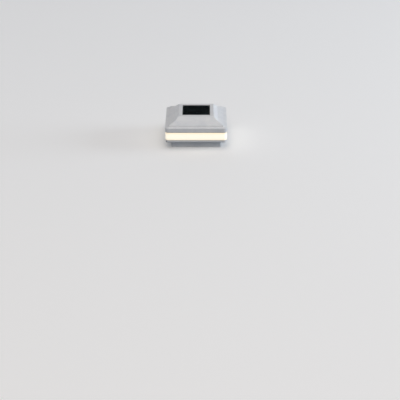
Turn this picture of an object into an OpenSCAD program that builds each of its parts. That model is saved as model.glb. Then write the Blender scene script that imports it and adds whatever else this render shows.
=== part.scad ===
// Solar cap light for a square deck post: a stepped roof with a solar panel, a frosted lens band
// that glows on all four sides, and a base pan whose skirt wraps the top of the post.
// Origin: centre of the skirt's bottom rim. +Z is up, -Y is the front. All sizes are in millimetres.

/* [Post and skirt] */
// Width of the square post, 3.5 inches on a nominal 4x4
post_w = 88.9; // [74:0.1:140]
// Gap between post and skirt on each side
post_gap = 0.75; // [0.3:0.05:1.5]
// Wall of the skirt
skirt_wall = 1.8; // [1.4:0.1:3]
// Height of the skirt, from its rim up to the seat on the post
skirt_h = 13; // [10:0.5:25]
// Radius of the skirt's outside corners
skirt_r = 3; // [2:0.5:5]
// Radius of the skirt's inside corners
pocket_r = 1.2; // [0.8:0.1:2]
// Distance between the two post screw holes on one side
post_screw_pitch = 50; // [30:1:60]
// Diameter of the post screw holes
post_screw_d = 4.2; // [3.5:0.1:5]

/* [Base and lens] */
// Overhang of the lens band past the skirt on each side
overhang = 10.8; // [9:0.1:16]
// Radius of the vertical corners of the lens band
corner_r = 6.5; // [5:0.1:9]
// Height of the lip under the lens band
lip_h = 5.7; // [4.7:0.1:9]
// Step from the lens band in to the lip
lip_inset = 0.5; // [0.2:0.1:0.8]
// Round on the lower edge of the lip
lip_round = 2.5; // [1:0.1:3]
// Wall of the lip and of the cover's rim, which hold the seal grooves
rim_wall = 4; // [3.5:0.1:5]
// Thickness of the base floor
floor_t = 2.4; // [2:0.1:3]
// Height of the lens band with its shadow gap
lens_h = 13.9; // [11.5:0.1:20]
// Shadow gap between the lens band and the cover
reveal = 0.5; // [0.3:0.1:1]
// Thickness of the lens band
lens_t = 3.1; // [2.5:0.1:3.8]
// Thickness of the lens tongues
tongue_t = 1.2; // [1:0.1:1.5]
// Length of the lens tongues inside the grooves
tongue_h = 2; // [1.6:0.1:2.4]
// Side clearance of a tongue in its groove
groove_clear = 0.2; // [0.1:0.05:0.3]
// Thickness of the seals in the grooves
gasket_t = 0.6; // [0.5:0.1:0.8]

/* [Roof] */
// Height of the cover's vertical fascia
fascia_h = 8.9; // [7:0.1:14]
// Width of the ledge round the roof
ledge_w = 6.3; // [4:0.1:8]
// Rise of the ledge from its edge to the riser
ledge_rise = 1.5; // [1:0.1:3]
// Height of the small riser between ledge and lower tier
riser_h = 2; // [1:0.1:4]
// Width of the gently sloping lower tier
tier_w = 10.8; // [8:0.1:13]
// Rise of the lower tier
tier_rise = 4.6; // [3:0.1:7]
// Width of the steep upper slope
slope_w = 7.8; // [5:0.1:10]
// Rise of the steep upper slope
slope_rise = 7.3; // [6:0.1:11]
// Wall of the cover
cover_wall = 2.4; // [1.8:0.1:3]

/* [Solar panel] */
// Margin from the plateau's edge to the panel
panel_margin = 7; // [5:0.1:9]
// Gap round the panel in its seat
panel_gap = 0.15; // [0.1:0.05:0.4]
// Depth of the panel's face below the plateau
panel_recess = 0.3; // [0:0.1:1]
// Thickness of the foam tape under the panel
tape_t = 0.5; // [0.3:0.1:1]
// Width of the foam tape
tape_w = 5; // [3:0.5:8]
// Thickness of the panel's board
panel_board_t = 1; // [0.8:0.1:1.6]
// Thickness of the cell strips
cell_t = 0.3; // [0.2:0.1:0.5]
// Thickness of the clear layer over the cells
resin_t = 1.1; // [0.6:0.1:2]
// Black border round the cells
panel_border = 2.6; // [1.5:0.1:4]
// Number of cell strips
cell_rows = 4; // [2:1:6]
// Gap between the cell strips
cell_gap = 0.5; // [0.3:0.1:1]
// Width of the tinned ribbons
ribbon_w = 1.2; // [0.8:0.1:2]
// Thickness of the tinned ribbons
ribbon_t = 0.1; // [0.1:0.05:0.2]
// Wall under the panel seat
seat_wall = 2.4; // [1.6:0.1:3]

/* [Battery] */
// Diameter of the battery in its sleeve
cell_d = 14.5; // [12.5:0.1:17.4]
// Length of the battery's can
can_l = 49.2; // [41:0.1:59.1]
// Thickness of the shrink sleeve
sleeve_t = 0.2; // [0.1:0.05:0.3]
// Diameter of the positive cap
cap_d = 5.5; // [4:0.1:6]
// Height of the positive cap
cap_h = 1.2; // [1:0.1:1.5]
// Room for the compressed spring
spring_l = 7; // [5:0.1:9]
// Depth of the pressed dome on the plate contact
dome_h = 1.8; // [1:0.1:2.5]
// Thickness of the contact sheets
contact_t = 0.4; // [0.3:0.1:0.6]
// Gap on each side of the battery in its bay
bay_clear = 0.55; // [0.3:0.05:0.8]
// Gap between the battery and the closed door
cell_lift = 0.3; // [0.2:0.1:1]
// Wall of the battery box
box_wall = 1.6; // [1.2:0.1:2.2]
// Distance of the battery bay behind the centre
bay_y = 10; // [8:0.5:12]

/* [Battery door] */
// Thickness of the door
door_t = 1.8; // [1.5:0.1:2.2]
// Depth of the door's face above the post seat
door_recess = 0.4; // [0.3:0.1:1]
// Gap round the closed door
door_gap = 0.4; // [0.3:0.05:0.6]
// Lap of the door past the bay on each end
door_lap = 3; // [2.5:0.1:4]
// Distance from the bay's centre line to the hinge axis and to the door's free edge
door_reach = 12.5; // [12:0.1:15]
// Radius of the hinge knuckles
knuckle_r = 1.5; // [1.3:0.1:1.8]
// Length of a hinge knuckle
knuckle_l = 12; // [8:0.5:14]
// Distance from the centre to the outer end of a knuckle
knuckle_out = 24; // [20:0.5:26]
// Diameter of the stub pins moulded on the knuckles
stub_d = 2; // [1.6:0.1:2.2]
// Length of a stub pin
stub_l = 2.2; // [1.5:0.1:3]
// Radial clearance of a stub pin in its hole
stub_clear = 0.08; // [0.05:0.01:0.1]
// Height of the door seal
seal_h = 0.8; // [0.6:0.1:1.2]
// Width of the door seal
seal_w = 1.2; // [0.8:0.1:1.5]
// Gap between the seal and the closed door
seal_clear = 0.1; // [0.05:0.05:0.2]
// Thickness of the pad round the battery opening
pad_t = 1.6; // [1.2:0.1:2.5]

/* [Switch] */
// Distance of the switch in front of the centre
switch_y = 22; // [20:0.5:25]
// Travel of the switch knob
switch_travel = 3; // [2:0.1:3.6]
// Length and width of the knob's grip
knob_w = 4; // [3.3:0.1:4.8]
// Gap round the grip at the ends and sides of its slot
knob_gap = 0.3; // [0.2:0.05:0.5]
// Width of the switch's metal body
switch_w = 7; // [6:0.1:8.4]
// Length of the switch's metal body
switch_l = 13; // [11:0.1:15]
// Height of the switch's metal body
switch_h = 4.4; // [3.8:0.1:5.2]

/* [Light engine] */
// Distance from the lens to the LED carrier
light_gap = 8.7; // [7.3:0.1:10]
// Wall of the carrier
carrier_wall = 1.6; // [1.3:0.1:2]
// Radius of the carrier's corners
carrier_r = 3; // [2.5:0.1:4]
// Height of an LED board
led_board_h = 10; // [8:0.1:12]
// Thickness of an LED board
led_board_t = 1.2; // [1:0.1:1.6]
// Distance from an LED board's end to the carrier's corner
led_board_end = 8; // [6.5:0.1:10]
// LEDs on each side
leds_per_side = 3; // [2:1:5]
// Length of an LED package
led_l = 3.5; // [2.8:0.1:4.2]
// Width of an LED package
led_w = 2.8; // [2.3:0.1:3.4]
// Height of an LED package
led_t = 0.8; // [0.6:0.1:1]
// Room for the contact tabs between battery box and deck
tab_room = 2.4; // [2:0.1:4]
// Thickness of the carrier's deck
deck_t = 1.6; // [1.2:0.1:2]

/* [Control board] */
// Length of the control board
board_l = 60; // [50:0.5:62]
// Width of the control board
board_w = 36; // [30:0.5:37]
// Thickness of the control board
board_t = 1.6; // [1:0.1:2]
// Height of the standoffs under the control board
standoff_h = 3; // [2:0.1:4]
// Length and width of a lead socket
socket_w = 5; // [4:0.1:6]
// Height of a lead socket
socket_h = 3.6; // [3:0.1:4.4]

/* [Fasteners and leads] */
// Diameter of the housing screws
housing_screw_d = 3; // [2.5:0.1:3.6]
// Length of the housing screws under the head
housing_screw_l = 16; // [13:0.5:19]
// Diameter of the housing screws' heads
housing_head_d = 5.8; // [4.8:0.1:6.4]
// Height of the housing screws' heads
housing_head_h = 2.2; // [1.8:0.1:2.6]
// Distance from the carrier's side to the housing screws
screw_inset = 8; // [7:0.1:9]
// Clearance round a screw in a through hole
screw_clear = 0.2; // [0.1:0.05:0.3]
// Gap round a screw head in its counterbore
head_clear = 0.3; // [0.2:0.05:0.5]
// Diameter of the small screws
small_screw_d = 2.2; // [1.8:0.1:2.6]
// Length of the small screws under the head
small_screw_l = 4; // [3.4:0.1:4.4]
// Diameter of the small screws' heads
small_head_d = 4; // [3.4:0.1:4.6]
// Height of the small screws' heads
small_head_h = 1.3; // [1:0.1:1.6]
// Diameter of the internal leads
lead_d = 1; // [0.8:0.1:1.2]

/* [Hidden] */
$fn = 48;
// Small overlap that makes cuts run clear through a face
cut = 1;
// Smallest corner radius of a nested square
least_r = 0.8;

// Half-widths of the nested squares, from the post outwards
pocket_half = post_w / 2 + post_gap;
skirt_half = pocket_half + skirt_wall;
body_half = skirt_half + overhang;
lip_half = body_half - lip_inset;
lens_in = body_half - lens_t;
tongue_out = lens_in + tongue_t;
groove_in = lens_in - groove_clear;
groove_out = tongue_out + groove_clear;
riser_half = body_half - ledge_w;
foot_half = riser_half - tier_w;
top_half = foot_half - slope_w;
panel_half = top_half - panel_margin;
carrier_half = lens_in - light_gap;
carrier_in = carrier_half - carrier_wall;
boss_xy = carrier_half - screw_inset;

// Levels from the skirt's rim upwards
seat_z = skirt_h;
floor_z = seat_z + floor_t;
lip_z = seat_z + lip_h;
fascia_z = lip_z + lens_h;
ledge_z = fascia_z + fascia_h;
riser_z = ledge_z + ledge_rise;
tier_z = riser_z + riser_h;
foot_z = tier_z + tier_rise;
top_z = foot_z + slope_rise;
groove_h = tongue_h + gasket_t;

// Solar panel stack, downwards from the plateau
resin_z = top_z - panel_recess;
cell_z = resin_z - resin_t - cell_t;
panel_z = cell_z - panel_board_t;
panel_seat_z = panel_z - tape_t;
tub_z = panel_seat_z - seat_wall;
tub_half = panel_half + panel_gap + cover_wall;
cells_half = panel_half - panel_border;
cell_pitch = (2 * cells_half + cell_gap) / cell_rows;
ribbon_x = cells_half / 2;
grommet_y = 10;
grommet_r = 4;
grommet_bore_r = 2.4;
grommet_flange_t = 1;
grommet_lip = 1.2;

// Battery door and pad
door_z0 = seat_z + door_recess;
door_z1 = door_z0 + door_t;
rebate_z = door_z1 + seal_clear + seal_h;
pad_z = rebate_z + pad_t;
hinge_y = bay_y + door_reach;
hinge_z = door_z0 + knuckle_r;
door_front = bay_y - door_reach;
// Floor edge in front of the hinge axis; the door's leaf ends outside the circle through that edge
hinge_edge = 1.3;
swing_clear = 0.3;
hinge_land = norm([hinge_edge, knuckle_r + door_recess]) + swing_clear;
// Room behind the hinge axis for the opened door
hinge_room = knuckle_r + 3 * swing_clear;
// Snap latch inside the door's free edge, and the room that it springs in
latch_l = 8;
latch_t = 1;
latch_h = 2.8;
latch_set = 0.3;
latch_nose_r = 0.35;
latch_nose_drop = 0.6;
latch_room = 1;
latch_head_room = 0.5;
latch_half = latch_l / 2 + door_gap;
latch_back = door_front - door_gap + latch_t + latch_room;
// Thumb notch in the floor and grip grooves on the door beside it
thumb_r = 7;
thumb_depth = 1.2;
grip_count = 3;
grip_l = 12;
grip_w = 0.7;
grip_pitch = 1.6;
grip_depth = 0.5;
grip_set = 2;

// Battery and its box
cell_r = cell_d / 2;
can_r = cell_r - sleeve_t;
cell_axis_z = door_z1 + cell_lift + cell_r;
bay_half_l = (contact_t + spring_l + can_l + cap_h + dome_h + contact_t) / 2;
bay_half_w = cell_r + bay_clear;
bay_top = cell_axis_z + cell_r;
box_z = bay_top + box_wall;
can_x0 = -bay_half_l + contact_t + spring_l;
door_half_l = bay_half_l + door_lap;
box_tab_x = 18;
box_tab_l = 10;
box_tab_t = 1.6;
box_screw_margin = 2.2;
box_screw_y = [door_front - door_gap - box_screw_margin, hinge_y + hinge_room + box_screw_margin];
tab_margin = 3;
pad_lap = 2;
pad_x = door_half_l + door_gap + pad_lap;
seal_set = 0.4;
contact_w = 10;
contact_x = bay_half_l - contact_t / 2;
solder_w = 3;
solder_h = 1.4;
dome_base_r = 4;
dome_tip_r = 2.4;

// Light engine and control board
deck_z0 = box_z + tab_room;
deck_z1 = deck_z0 + deck_t;
board_z = deck_z1 + standoff_h;
board_top = board_z + board_t;
led_mid_z = (lip_z + fascia_z) / 2;
led_board_half = carrier_half - led_board_end;
led_pitch = 2 * led_board_half / leds_per_side;
lug_z = floor_z + 3;
lug_t = 1.6;
lug_top = lug_z + lug_t;
base_boss_r = 4.5;
cover_boss_r = 3.8;
boss_room = 0.6;
counterbore_margin = 0.6;
counterbore_h = housing_head_h + counterbore_margin;
// Length of a housing screw that lies in the base and the carrier
screw_grip = lug_top - seat_z - counterbore_h;
pilot_margin = 1.5;
standoff_r = 2.4;
board_screw_inset_x = 10;
board_screw_inset_y = 4;
board_screw_x = board_l / 2 - board_screw_inset_x;
board_screw_y = board_w / 2 - board_screw_inset_y;
deck_hole_r = 2;
window_margin = 1.5;

// Sockets on the control board: centre and the side that the leads enter from
socket_inset = 3.5;
bay_socket_x = board_l / 2 - socket_inset;
front_socket_y = -board_w / 2 + socket_inset;
led_socket_x = 13;
switch_socket_x = 1.75;
socket_z = board_top + socket_h / 2;

// Switch
slide_gap = 0.3;
plunger_z = floor_z + slide_gap;
plunger_t = 1;
switch_z = plunger_z + plunger_t + slide_gap;
switch_slot_half = (knob_w + switch_travel) / 2 + knob_gap;
// The plunger's plate closes the slot from inside at both ends of its travel
slot_lap = 0.4;
plunger_l = 2 * (switch_slot_half + slot_lap) + switch_travel;
plunger_lap = 1.3;
plunger_w = knob_w + 2 * plunger_lap;
stem_w = 2;
stem_h = 1.5;
stem_slot_half = (stem_w + switch_travel) / 2 + knob_gap;
ridge_count = 3;
ridge_w = 0.5;
ridge_depth = 0.5;
switch_ear_t = 0.5;
switch_ear_lap = 2;
switch_post_r = 1.9;
switch_head_d = 3.4;
switch_post_x = (plunger_l + switch_travel) / 2 + 2 * slide_gap + switch_post_r;
switch_ear_end = switch_post_x + switch_ear_lap;
pin_pitch = 3.5;
pin_w = 1.2;
pin_t = 0.5;
pin_h = 4;

// Components on the control board: centres and sizes
chip_x = -8;
chip_l = 5;
chip_w = 4;
chip_h = 1.5;
chip_lift = 0.2;
chip_pins = 4;
chip_pin_pitch = 1.27;
chip_pin_w = 0.4;
chip_pin_l = 1;
chip_pin_h = 0.6;
choke_xy = [14, 3];
choke_r = 4;
choke_core_r = 3;
choke_h = 5;
choke_flange_t = 1;
capacitor_x = -17;
capacitor_y = 5;
capacitor_r = 2.5;
capacitor_h = 7;
capacitor_rim = 0.2;
capacitor_crown = 0.4;

// Leads: half the distance between the two leads of a pair, and where they pass the deck
pair = 1.2;
bay_lead_run = 4;
bay_lead_x = bay_half_l + bay_lead_run;
switch_lead_step = 2;
switch_lead_y = -switch_y - switch_lead_step;
// Straight starts and ends of the leads, their slack, and how far the jumpers stand off the corners
lead_start = 3;
lead_end = 2;
lead_slack = 1.5;
jumper_bulge = 0.3;

// ---- shared shapes ----

// Corner radius of a nested square, concentric with the lens band's corners
function corner(half) = max(corner_r - (body_half - half), least_r);
function unit(v) = v / norm(v);

// Square with rounded corners
module rounded_2d(half, r) {
    square([2 * half, 2 * (half - r)], center = true);
    square([2 * (half - r), 2 * half], center = true);
    for (x = [-1, 1], y = [-1, 1]) translate([x * (half - r), y * (half - r)]) circle(r);
}

// Square ring between two half-widths, from z up by h
module square_ring(outer, inner, z, h) {
    translate([0, 0, z]) linear_extrude(h) difference() {
        rounded_2d(outer, corner(outer));
        rounded_2d(inner, corner(inner));
    }
}

// Box from one corner to the opposite one
module block(low, high) {
    translate(low) cube(high - low);
}

// Children copied to the four corners of a rectangle
module at_corners(x, y) {
    for (i = [-1, 1], j = [-1, 1]) translate([i * x, j * y]) children();
}

// Pan head screw with a cross recess, its head below z = 0 and its shank above
module screw(d, length, head_d, head_h) {
    crown_d = 0.7 * head_d;
    recess_l = 0.54 * head_d;
    recess_w = 0.16 * head_d;
    recess_h = 0.55 * head_h;
    difference() {
        union() {
            cylinder(d = d, h = length);
            translate([0, 0, -head_h / 2]) cylinder(d = head_d, h = head_h / 2);
            translate([0, 0, -head_h]) cylinder(d1 = crown_d, d2 = head_d, h = head_h / 2);
        }
        for (a = [0, 90]) rotate(a) translate([-recess_l / 2, -recess_w / 2, -head_h - cut])
            cube([recess_l, recess_w, cut + recess_h]);
    }
}

// Same screw turned over, its head above z = 0 and its shank below
module screw_down(d, length, head_d, head_h) {
    mirror([0, 0, 1]) screw(d, length, head_d, head_h);
}

// Route with its corners cut once, and the same done n times
function cut_corners(p) = [p[0], each [for (i = [0 : len(p) - 2])
    each [0.75 * p[i] + 0.25 * p[i + 1], 0.25 * p[i] + 0.75 * p[i + 1]]], p[len(p) - 1]];
function smooth(p, n = 2) = n == 0 ? p : smooth(cut_corners(p), n - 1);
function heading(p, i) = unit(p[min(i + 1, len(p) - 1)] - p[max(i - 1, 0)]);

// Round wire along a route; across is a direction that the route never runs along
module wire(route, r, across, sides = 8) {
    last = len(route) - 1;
    rings = [for (i = [0 : last])
        let (t = heading(route, i), u = unit(cross(across, t)), v = cross(t, u))
        each [for (k = [0 : sides - 1])
            route[i] + r * (cos(360 * k / sides) * u + sin(360 * k / sides) * v)]];
    walls = [for (i = [0 : last - 1], k = [0 : sides - 1])
        let (a = i * sides, b = a + sides, next = (k + 1) % sides) [a + k, b + k, b + next, a + next]];
    start = [for (k = [0 : sides - 1]) k];
    end = [for (k = [sides - 1 : -1 : 0]) last * sides + k];
    polyhedron(rings, concat([start], walls, [end]), convexity = 4);
}

// ---- roof ----

// Right half of the roof's outline from z0 upwards, and its inward normals
function roof_points(z0) = [[body_half, z0], [body_half, ledge_z], [riser_half, riser_z],
    [riser_half, tier_z], [foot_half, foot_z], [top_half, top_z]];
function roof_normal(p, i) = i < 0 ? [-1, 0] : i > len(p) - 2 ? [0, -1]
    : let (s = unit(p[i + 1] - p[i])) [-s[1], s[0]];
// Outline moved inwards by d with its corners mitred
function inset_points(p, d) = [for (i = [0 : len(p) - 1])
    let (a = roof_normal(p, i - 1), b = roof_normal(p, i)) p[i] + d * (a + b) / (1 + a * b)];

// Solid roof with mitred hips, moved inwards by d
module roof_form(d, z0) {
    half = inset_points(roof_points(z0), d);
    outline = concat(half, [for (i = [len(half) - 1 : -1 : 0]) [-half[i][0], half[i][1]]]);
    intersection() {
        rotate([90, 0, 0]) linear_extrude(2 * body_half + cut, center = true) polygon(outline);
        rotate([90, 0, 90]) linear_extrude(2 * body_half + cut, center = true) polygon(outline);
        translate([0, 0, z0 - cut]) linear_extrude(top_z - z0 + 2 * cut)
            rounded_2d(body_half - d, corner(body_half - d));
    }
}

// Tub under the panel's seat, and the four long screw bosses
module roof_inner_parts() {
    block([-tub_half, -tub_half, tub_z], [tub_half, tub_half, top_z - cover_wall / 2]);
    intersection() {
        at_corners(boss_xy, boss_xy) translate([0, 0, lug_top]) cylinder(r = cover_boss_r, h = top_z);
        roof_form(cover_wall / 2, lug_z);
    }
}

module top_cover() {
    rim_h = groove_h + cover_wall;
    seat_half = panel_half + panel_gap;
    color("white") difference() {
        union() {
            difference() {
                roof_form(0, fascia_z);
                roof_form(cover_wall, fascia_z - cut);
            }
            square_ring(body_half - cover_wall / 2, body_half - rim_wall, fascia_z, rim_h);
            roof_inner_parts();
        }
        square_ring(groove_out, groove_in, fascia_z - cut, cut + groove_h);
        block([-seat_half, -seat_half, panel_seat_z], [seat_half, seat_half, top_z + cut]);
        translate([0, grommet_y, tub_z - cut]) cylinder(r = grommet_r, h = seat_wall + 2 * cut);
        at_corners(boss_xy, boss_xy) translate([0, 0, lug_top - cut])
            cylinder(d = housing_screw_d, h = cut + housing_screw_l - screw_grip + pilot_margin);
    }
}

// ---- solar panel ----

module panel_tape() {
    color("dimgray") translate([0, 0, panel_seat_z]) linear_extrude(tape_t) difference() {
        square(2 * panel_half, center = true);
        square(2 * (panel_half - tape_w), center = true);
    }
}

module panel_board() {
    color("black") block([-panel_half, -panel_half, panel_z], [panel_half, panel_half, cell_z]);
}

module solar_cells() {
    strip = cell_pitch - cell_gap;
    color("midnightblue") for (i = [0 : cell_rows - 1])
        translate([-cells_half, -cells_half + i * cell_pitch, cell_z]) cube([2 * cells_half, strip, cell_t]);
}

module cell_ribbons() {
    color("silver") for (x = [-ribbon_x, ribbon_x])
        block([x - ribbon_w / 2, -cells_half, cell_z + cell_t],
            [x + ribbon_w / 2, cells_half, cell_z + cell_t + ribbon_t]);
}

module panel_resin() {
    color([0.1, 0.15, 0.2, 0.4]) difference() {
        block([-panel_half, -panel_half, cell_z], [panel_half, panel_half, resin_z]);
        solar_cells();
        cell_ribbons();
    }
}

module lead_grommet() {
    color("black") translate([0, grommet_y, tub_z]) difference() {
        union() {
            cylinder(r = grommet_r, h = seat_wall);
            translate([0, 0, -grommet_flange_t]) cylinder(r = grommet_r + grommet_lip, h = grommet_flange_t);
        }
        translate([0, 0, -2 * cut]) cylinder(r = grommet_bore_r, h = seat_wall + 3 * cut);
    }
}

// ---- lens and seals ----

module lens_ring() {
    color([1, 0.95, 0.8, 0.9]) {
        square_ring(body_half, lens_in, lip_z, lens_h - reveal);
        square_ring(tongue_out, lens_in, lip_z - tongue_h, lens_h + 2 * tongue_h);
    }
}

module upper_gasket() {
    color("gray") square_ring(groove_out, groove_in, fascia_z + tongue_h, gasket_t);
}

module lower_gasket() {
    color("gray") square_ring(groove_out, groove_in, lip_z - groove_h, gasket_t);
}

// ---- base ----

// Half section of the lip from the axis out to w, with its lower edge rounded
module lip_section(w) {
    difference() {
        square([w, lip_h]);
        translate([w - lip_round, 0]) difference() {
            square(lip_round);
            translate([0, lip_round]) circle(lip_round);
        }
    }
}

module lip_slab() {
    r = corner(lip_half);
    flat = lip_half - r;
    translate([0, 0, seat_z]) {
        at_corners(flat, flat) rotate_extrude() lip_section(r);
        for (a = [0 : 90 : 270]) rotate(a) rotate([90, 0, 0])
            linear_extrude(2 * flat, center = true) lip_section(lip_half);
    }
}

// Space that the battery door, its knuckles, latch and stub pins need in the floor
module door_space() {
    x = door_half_l + door_gap;
    y0 = door_front - door_gap;
    y1 = hinge_y - hinge_edge;
    block([-x, y0, seat_z - cut], [x, y1, rebate_z]);
    block([-bay_half_l, bay_y - bay_half_w, seat_z], [bay_half_l, bay_y + bay_half_w, pad_z + cut]);
    block([-latch_half, y0, seat_z], [latch_half, latch_back, pad_z + cut]);
    for (s = [-1, 1]) {
        mid = s * (knuckle_out - knuckle_l / 2);
        half = knuckle_l / 2 + door_gap;
        block([mid - half, y1 - cut, seat_z - cut],
            [mid + half, hinge_y + hinge_room, hinge_z + knuckle_r + door_gap]);
        translate([s * knuckle_out, hinge_y, hinge_z]) rotate([0, 90 * s, 0])
            cylinder(r = stub_d / 2 + stub_clear, h = stub_l + door_gap);
    }
    // Thumb notch at the free edge
    translate([0, y0, seat_z - cut]) cylinder(r = thumb_r, h = cut + thumb_depth);
}

module base_pan() {
    color("white") difference() {
        union() {
            difference() {
                lip_slab();
                translate([0, 0, floor_z]) linear_extrude(lip_h)
                    rounded_2d(lip_half - rim_wall, corner(lip_half - rim_wall));
            }
            linear_extrude(floor_z) difference() {
                rounded_2d(skirt_half, skirt_r);
                rounded_2d(pocket_half, pocket_r);
            }
            block([-pad_x, box_screw_y[0] - tab_margin, seat_z], [pad_x, box_screw_y[1] + tab_margin, pad_z]);
            at_corners(boss_xy, boss_xy) translate([0, 0, seat_z])
                cylinder(r = base_boss_r, h = lug_z - seat_z);
            for (s = [-1, 1]) translate([s * switch_post_x, -switch_y, seat_z])
                cylinder(r = switch_post_r, h = switch_z - seat_z);
        }
        square_ring(groove_out, groove_in, lip_z - groove_h, groove_h + cut);
        door_space();
        // Housing screws from below
        at_corners(boss_xy, boss_xy) translate([0, 0, seat_z - cut]) {
            cylinder(d = housing_screw_d + 2 * screw_clear, h = lug_z - seat_z + 2 * cut);
            cylinder(d = housing_head_d + 2 * head_clear, h = cut + counterbore_h);
        }
        // Pilot holes of the battery box screws and the switch screws
        at_box_screws(pad_z + box_tab_t - small_screw_l) cylinder(d = small_screw_d, h = small_screw_l);
        at_switch_screws(switch_z + switch_ear_t - small_screw_l)
            cylinder(d = small_screw_d, h = small_screw_l + cut);
        // Slot for the switch knob
        block([-switch_slot_half, -switch_y - knob_w / 2 - knob_gap, seat_z - cut],
            [switch_slot_half, -switch_y + knob_w / 2 + knob_gap, floor_z + cut]);
        // Post screw holes, two in the left side of the skirt and two in the right side
        for (y = [-1, 1]) translate([0, y * post_screw_pitch / 2, seat_z / 2]) rotate([0, 90, 0])
            cylinder(d = post_screw_d, h = 2 * body_half, center = true);
    }
}

// ---- battery ----

// Children at the two screws of the battery box, one in front on the left and one behind on the right
module at_box_screws(z) {
    for (i = [0, 1]) translate([(2 * i - 1) * box_tab_x, box_screw_y[i], z]) children();
}

module battery_box() {
    color("whitesmoke") difference() {
        union() {
            block([-bay_half_l - box_wall, bay_y - bay_half_w - box_wall, pad_z],
                [bay_half_l + box_wall, bay_y + bay_half_w + box_wall, box_z]);
            for (i = [0, 1]) {
                x = (2 * i - 1) * box_tab_x;
                far = box_screw_y[i] + (2 * i - 1) * tab_margin;
                block([x - box_tab_l / 2, min(far, bay_y), pad_z],
                    [x + box_tab_l / 2, max(far, bay_y), pad_z + box_tab_t]);
            }
        }
        block([-bay_half_l, bay_y - bay_half_w, pad_z - cut], [bay_half_l, bay_y + bay_half_w, bay_top]);
        // The latch on the door swings up into this corner
        block([-latch_half, door_front - door_gap, pad_z - cut],
            [latch_half, latch_back, door_z1 + latch_h + latch_head_room]);
        for (s = [-1, 1]) contact_strip(s * contact_x, solder_w, bay_top - cut, box_z + cut);
        at_box_screws(pad_z - cut)
            cylinder(d = small_screw_d + 2 * screw_clear, h = box_tab_t + 2 * cut);
    }
}

module box_screws() {
    color("silver") at_box_screws(pad_z + box_tab_t)
        screw_down(small_screw_d, small_screw_l, small_head_d, small_head_h);
}

module battery_cell() {
    color("silver") translate([can_x0, bay_y, cell_axis_z]) rotate([0, 90, 0]) {
        cylinder(r = can_r, h = can_l);
        cylinder(d = cap_d, h = can_l + cap_h);
    }
}

module battery_sleeve() {
    color("seagreen") translate([can_x0, bay_y, cell_axis_z]) rotate([0, 90, 0]) difference() {
        cylinder(r = cell_r, h = can_l);
        translate([0, 0, -cut]) cylinder(r = can_r, h = can_l + 2 * cut);
    }
}

// Upright strip of contact sheet, w wide, from z0 to z1
module contact_strip(x, w, z0, z1) {
    block([x - contact_t / 2, bay_y - w / 2, z0], [x + contact_t / 2, bay_y + w / 2, z1]);
}

// Sheet against the bay's end wall on side s, with its solder tab through the box
module contact_sheet(s) {
    contact_strip(s * contact_x, contact_w, pad_z, bay_top);
    contact_strip(s * contact_x, solder_w, pad_z, box_z + solder_h);
}

module spring_contact() {
    turns = 4;
    steps = 16;
    wire_r = 0.4;
    base_r = 4.6;
    tip_r = 2.6;
    x0 = -bay_half_l + contact_t + wire_r / 2;
    run = can_x0 - wire_r - x0;
    coil = [for (i = [0 : turns * steps])
        let (f = i / (turns * steps), r = base_r + (tip_r - base_r) * f)
        [x0 + run * f, bay_y + r * cos(360 * i / steps), cell_axis_z + r * sin(360 * i / steps)]];
    color("silver") {
        contact_sheet(-1);
        wire(coil, wire_r, [1, 0, 0], 6);
    }
}

module plate_contact() {
    color("silver") {
        contact_sheet(1);
        translate([bay_half_l - contact_t, bay_y, cell_axis_z]) rotate([0, -90, 0])
            cylinder(r1 = dome_base_r, r2 = dome_tip_r, h = dome_h);
    }
}

// ---- battery door ----

module battery_door() {
    leaf_end = hinge_y - hinge_land;
    latch_y = door_front + latch_set;
    color("white") difference() {
        union() {
            block([-door_half_l, door_front, door_z0], [door_half_l, leaf_end, door_z1]);
            for (s = [-1, 1]) {
                mid = s * (knuckle_out - knuckle_l / 2);
                block([mid - knuckle_l / 2, leaf_end - cut, door_z0],
                    [mid + knuckle_l / 2, hinge_y, door_z1]);
                translate([mid, hinge_y, hinge_z]) rotate([0, 90, 0])
                    cylinder(r = knuckle_r, h = knuckle_l, center = true);
                translate([s * (knuckle_out - cut), hinge_y, hinge_z]) rotate([0, 90 * s, 0])
                    cylinder(d = stub_d, h = stub_l + cut);
            }
            // Snap latch: a springy leaf with a small nose, inside the free edge
            block([-latch_l / 2, latch_y, door_z1 - cut],
                [latch_l / 2, latch_y + latch_t, door_z1 + latch_h]);
            translate([0, latch_y, door_z1 + latch_h - latch_nose_drop]) rotate([0, 90, 0])
                cylinder(r = latch_nose_r, h = latch_l - 2 * latch_t, center = true);
        }
        // Grip grooves by the thumb notch
        for (i = [0 : grip_count - 1]) {
            y = door_front + grip_set + i * grip_pitch;
            block([-grip_l / 2, y, door_z0 - cut], [grip_l / 2, y + grip_w, door_z0 + grip_depth]);
        }
    }
}

module door_seal() {
    inner = [bay_half_l + seal_set, bay_half_w + seal_set];
    color("gray") translate([0, bay_y, rebate_z - seal_h]) linear_extrude(seal_h) difference() {
        square(2 * (inner + [seal_w, seal_w]), center = true);
        square(2 * inner, center = true);
    }
}

// ---- switch ----

// Children at the two screws of the switch
module at_switch_screws(z) {
    for (s = [-1, 1]) translate([s * switch_post_x, -switch_y, z]) children();
}

module switch_body() {
    color("silver") difference() {
        translate([0, -switch_y, switch_z]) {
            block([-switch_l / 2, -switch_w / 2, 0], [switch_l / 2, switch_w / 2, switch_h]);
            block([-switch_ear_end, -switch_w / 2, 0], [switch_ear_end, switch_w / 2, switch_ear_t]);
        }
        block([-stem_slot_half, -switch_y - stem_w / 2 - knob_gap, switch_z - cut],
            [stem_slot_half, -switch_y + stem_w / 2 + knob_gap, switch_z + stem_h + 2 * slide_gap]);
        at_switch_screws(switch_z - cut) cylinder(d = small_screw_d + 2 * screw_clear, h = 3 * cut);
    }
}

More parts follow.
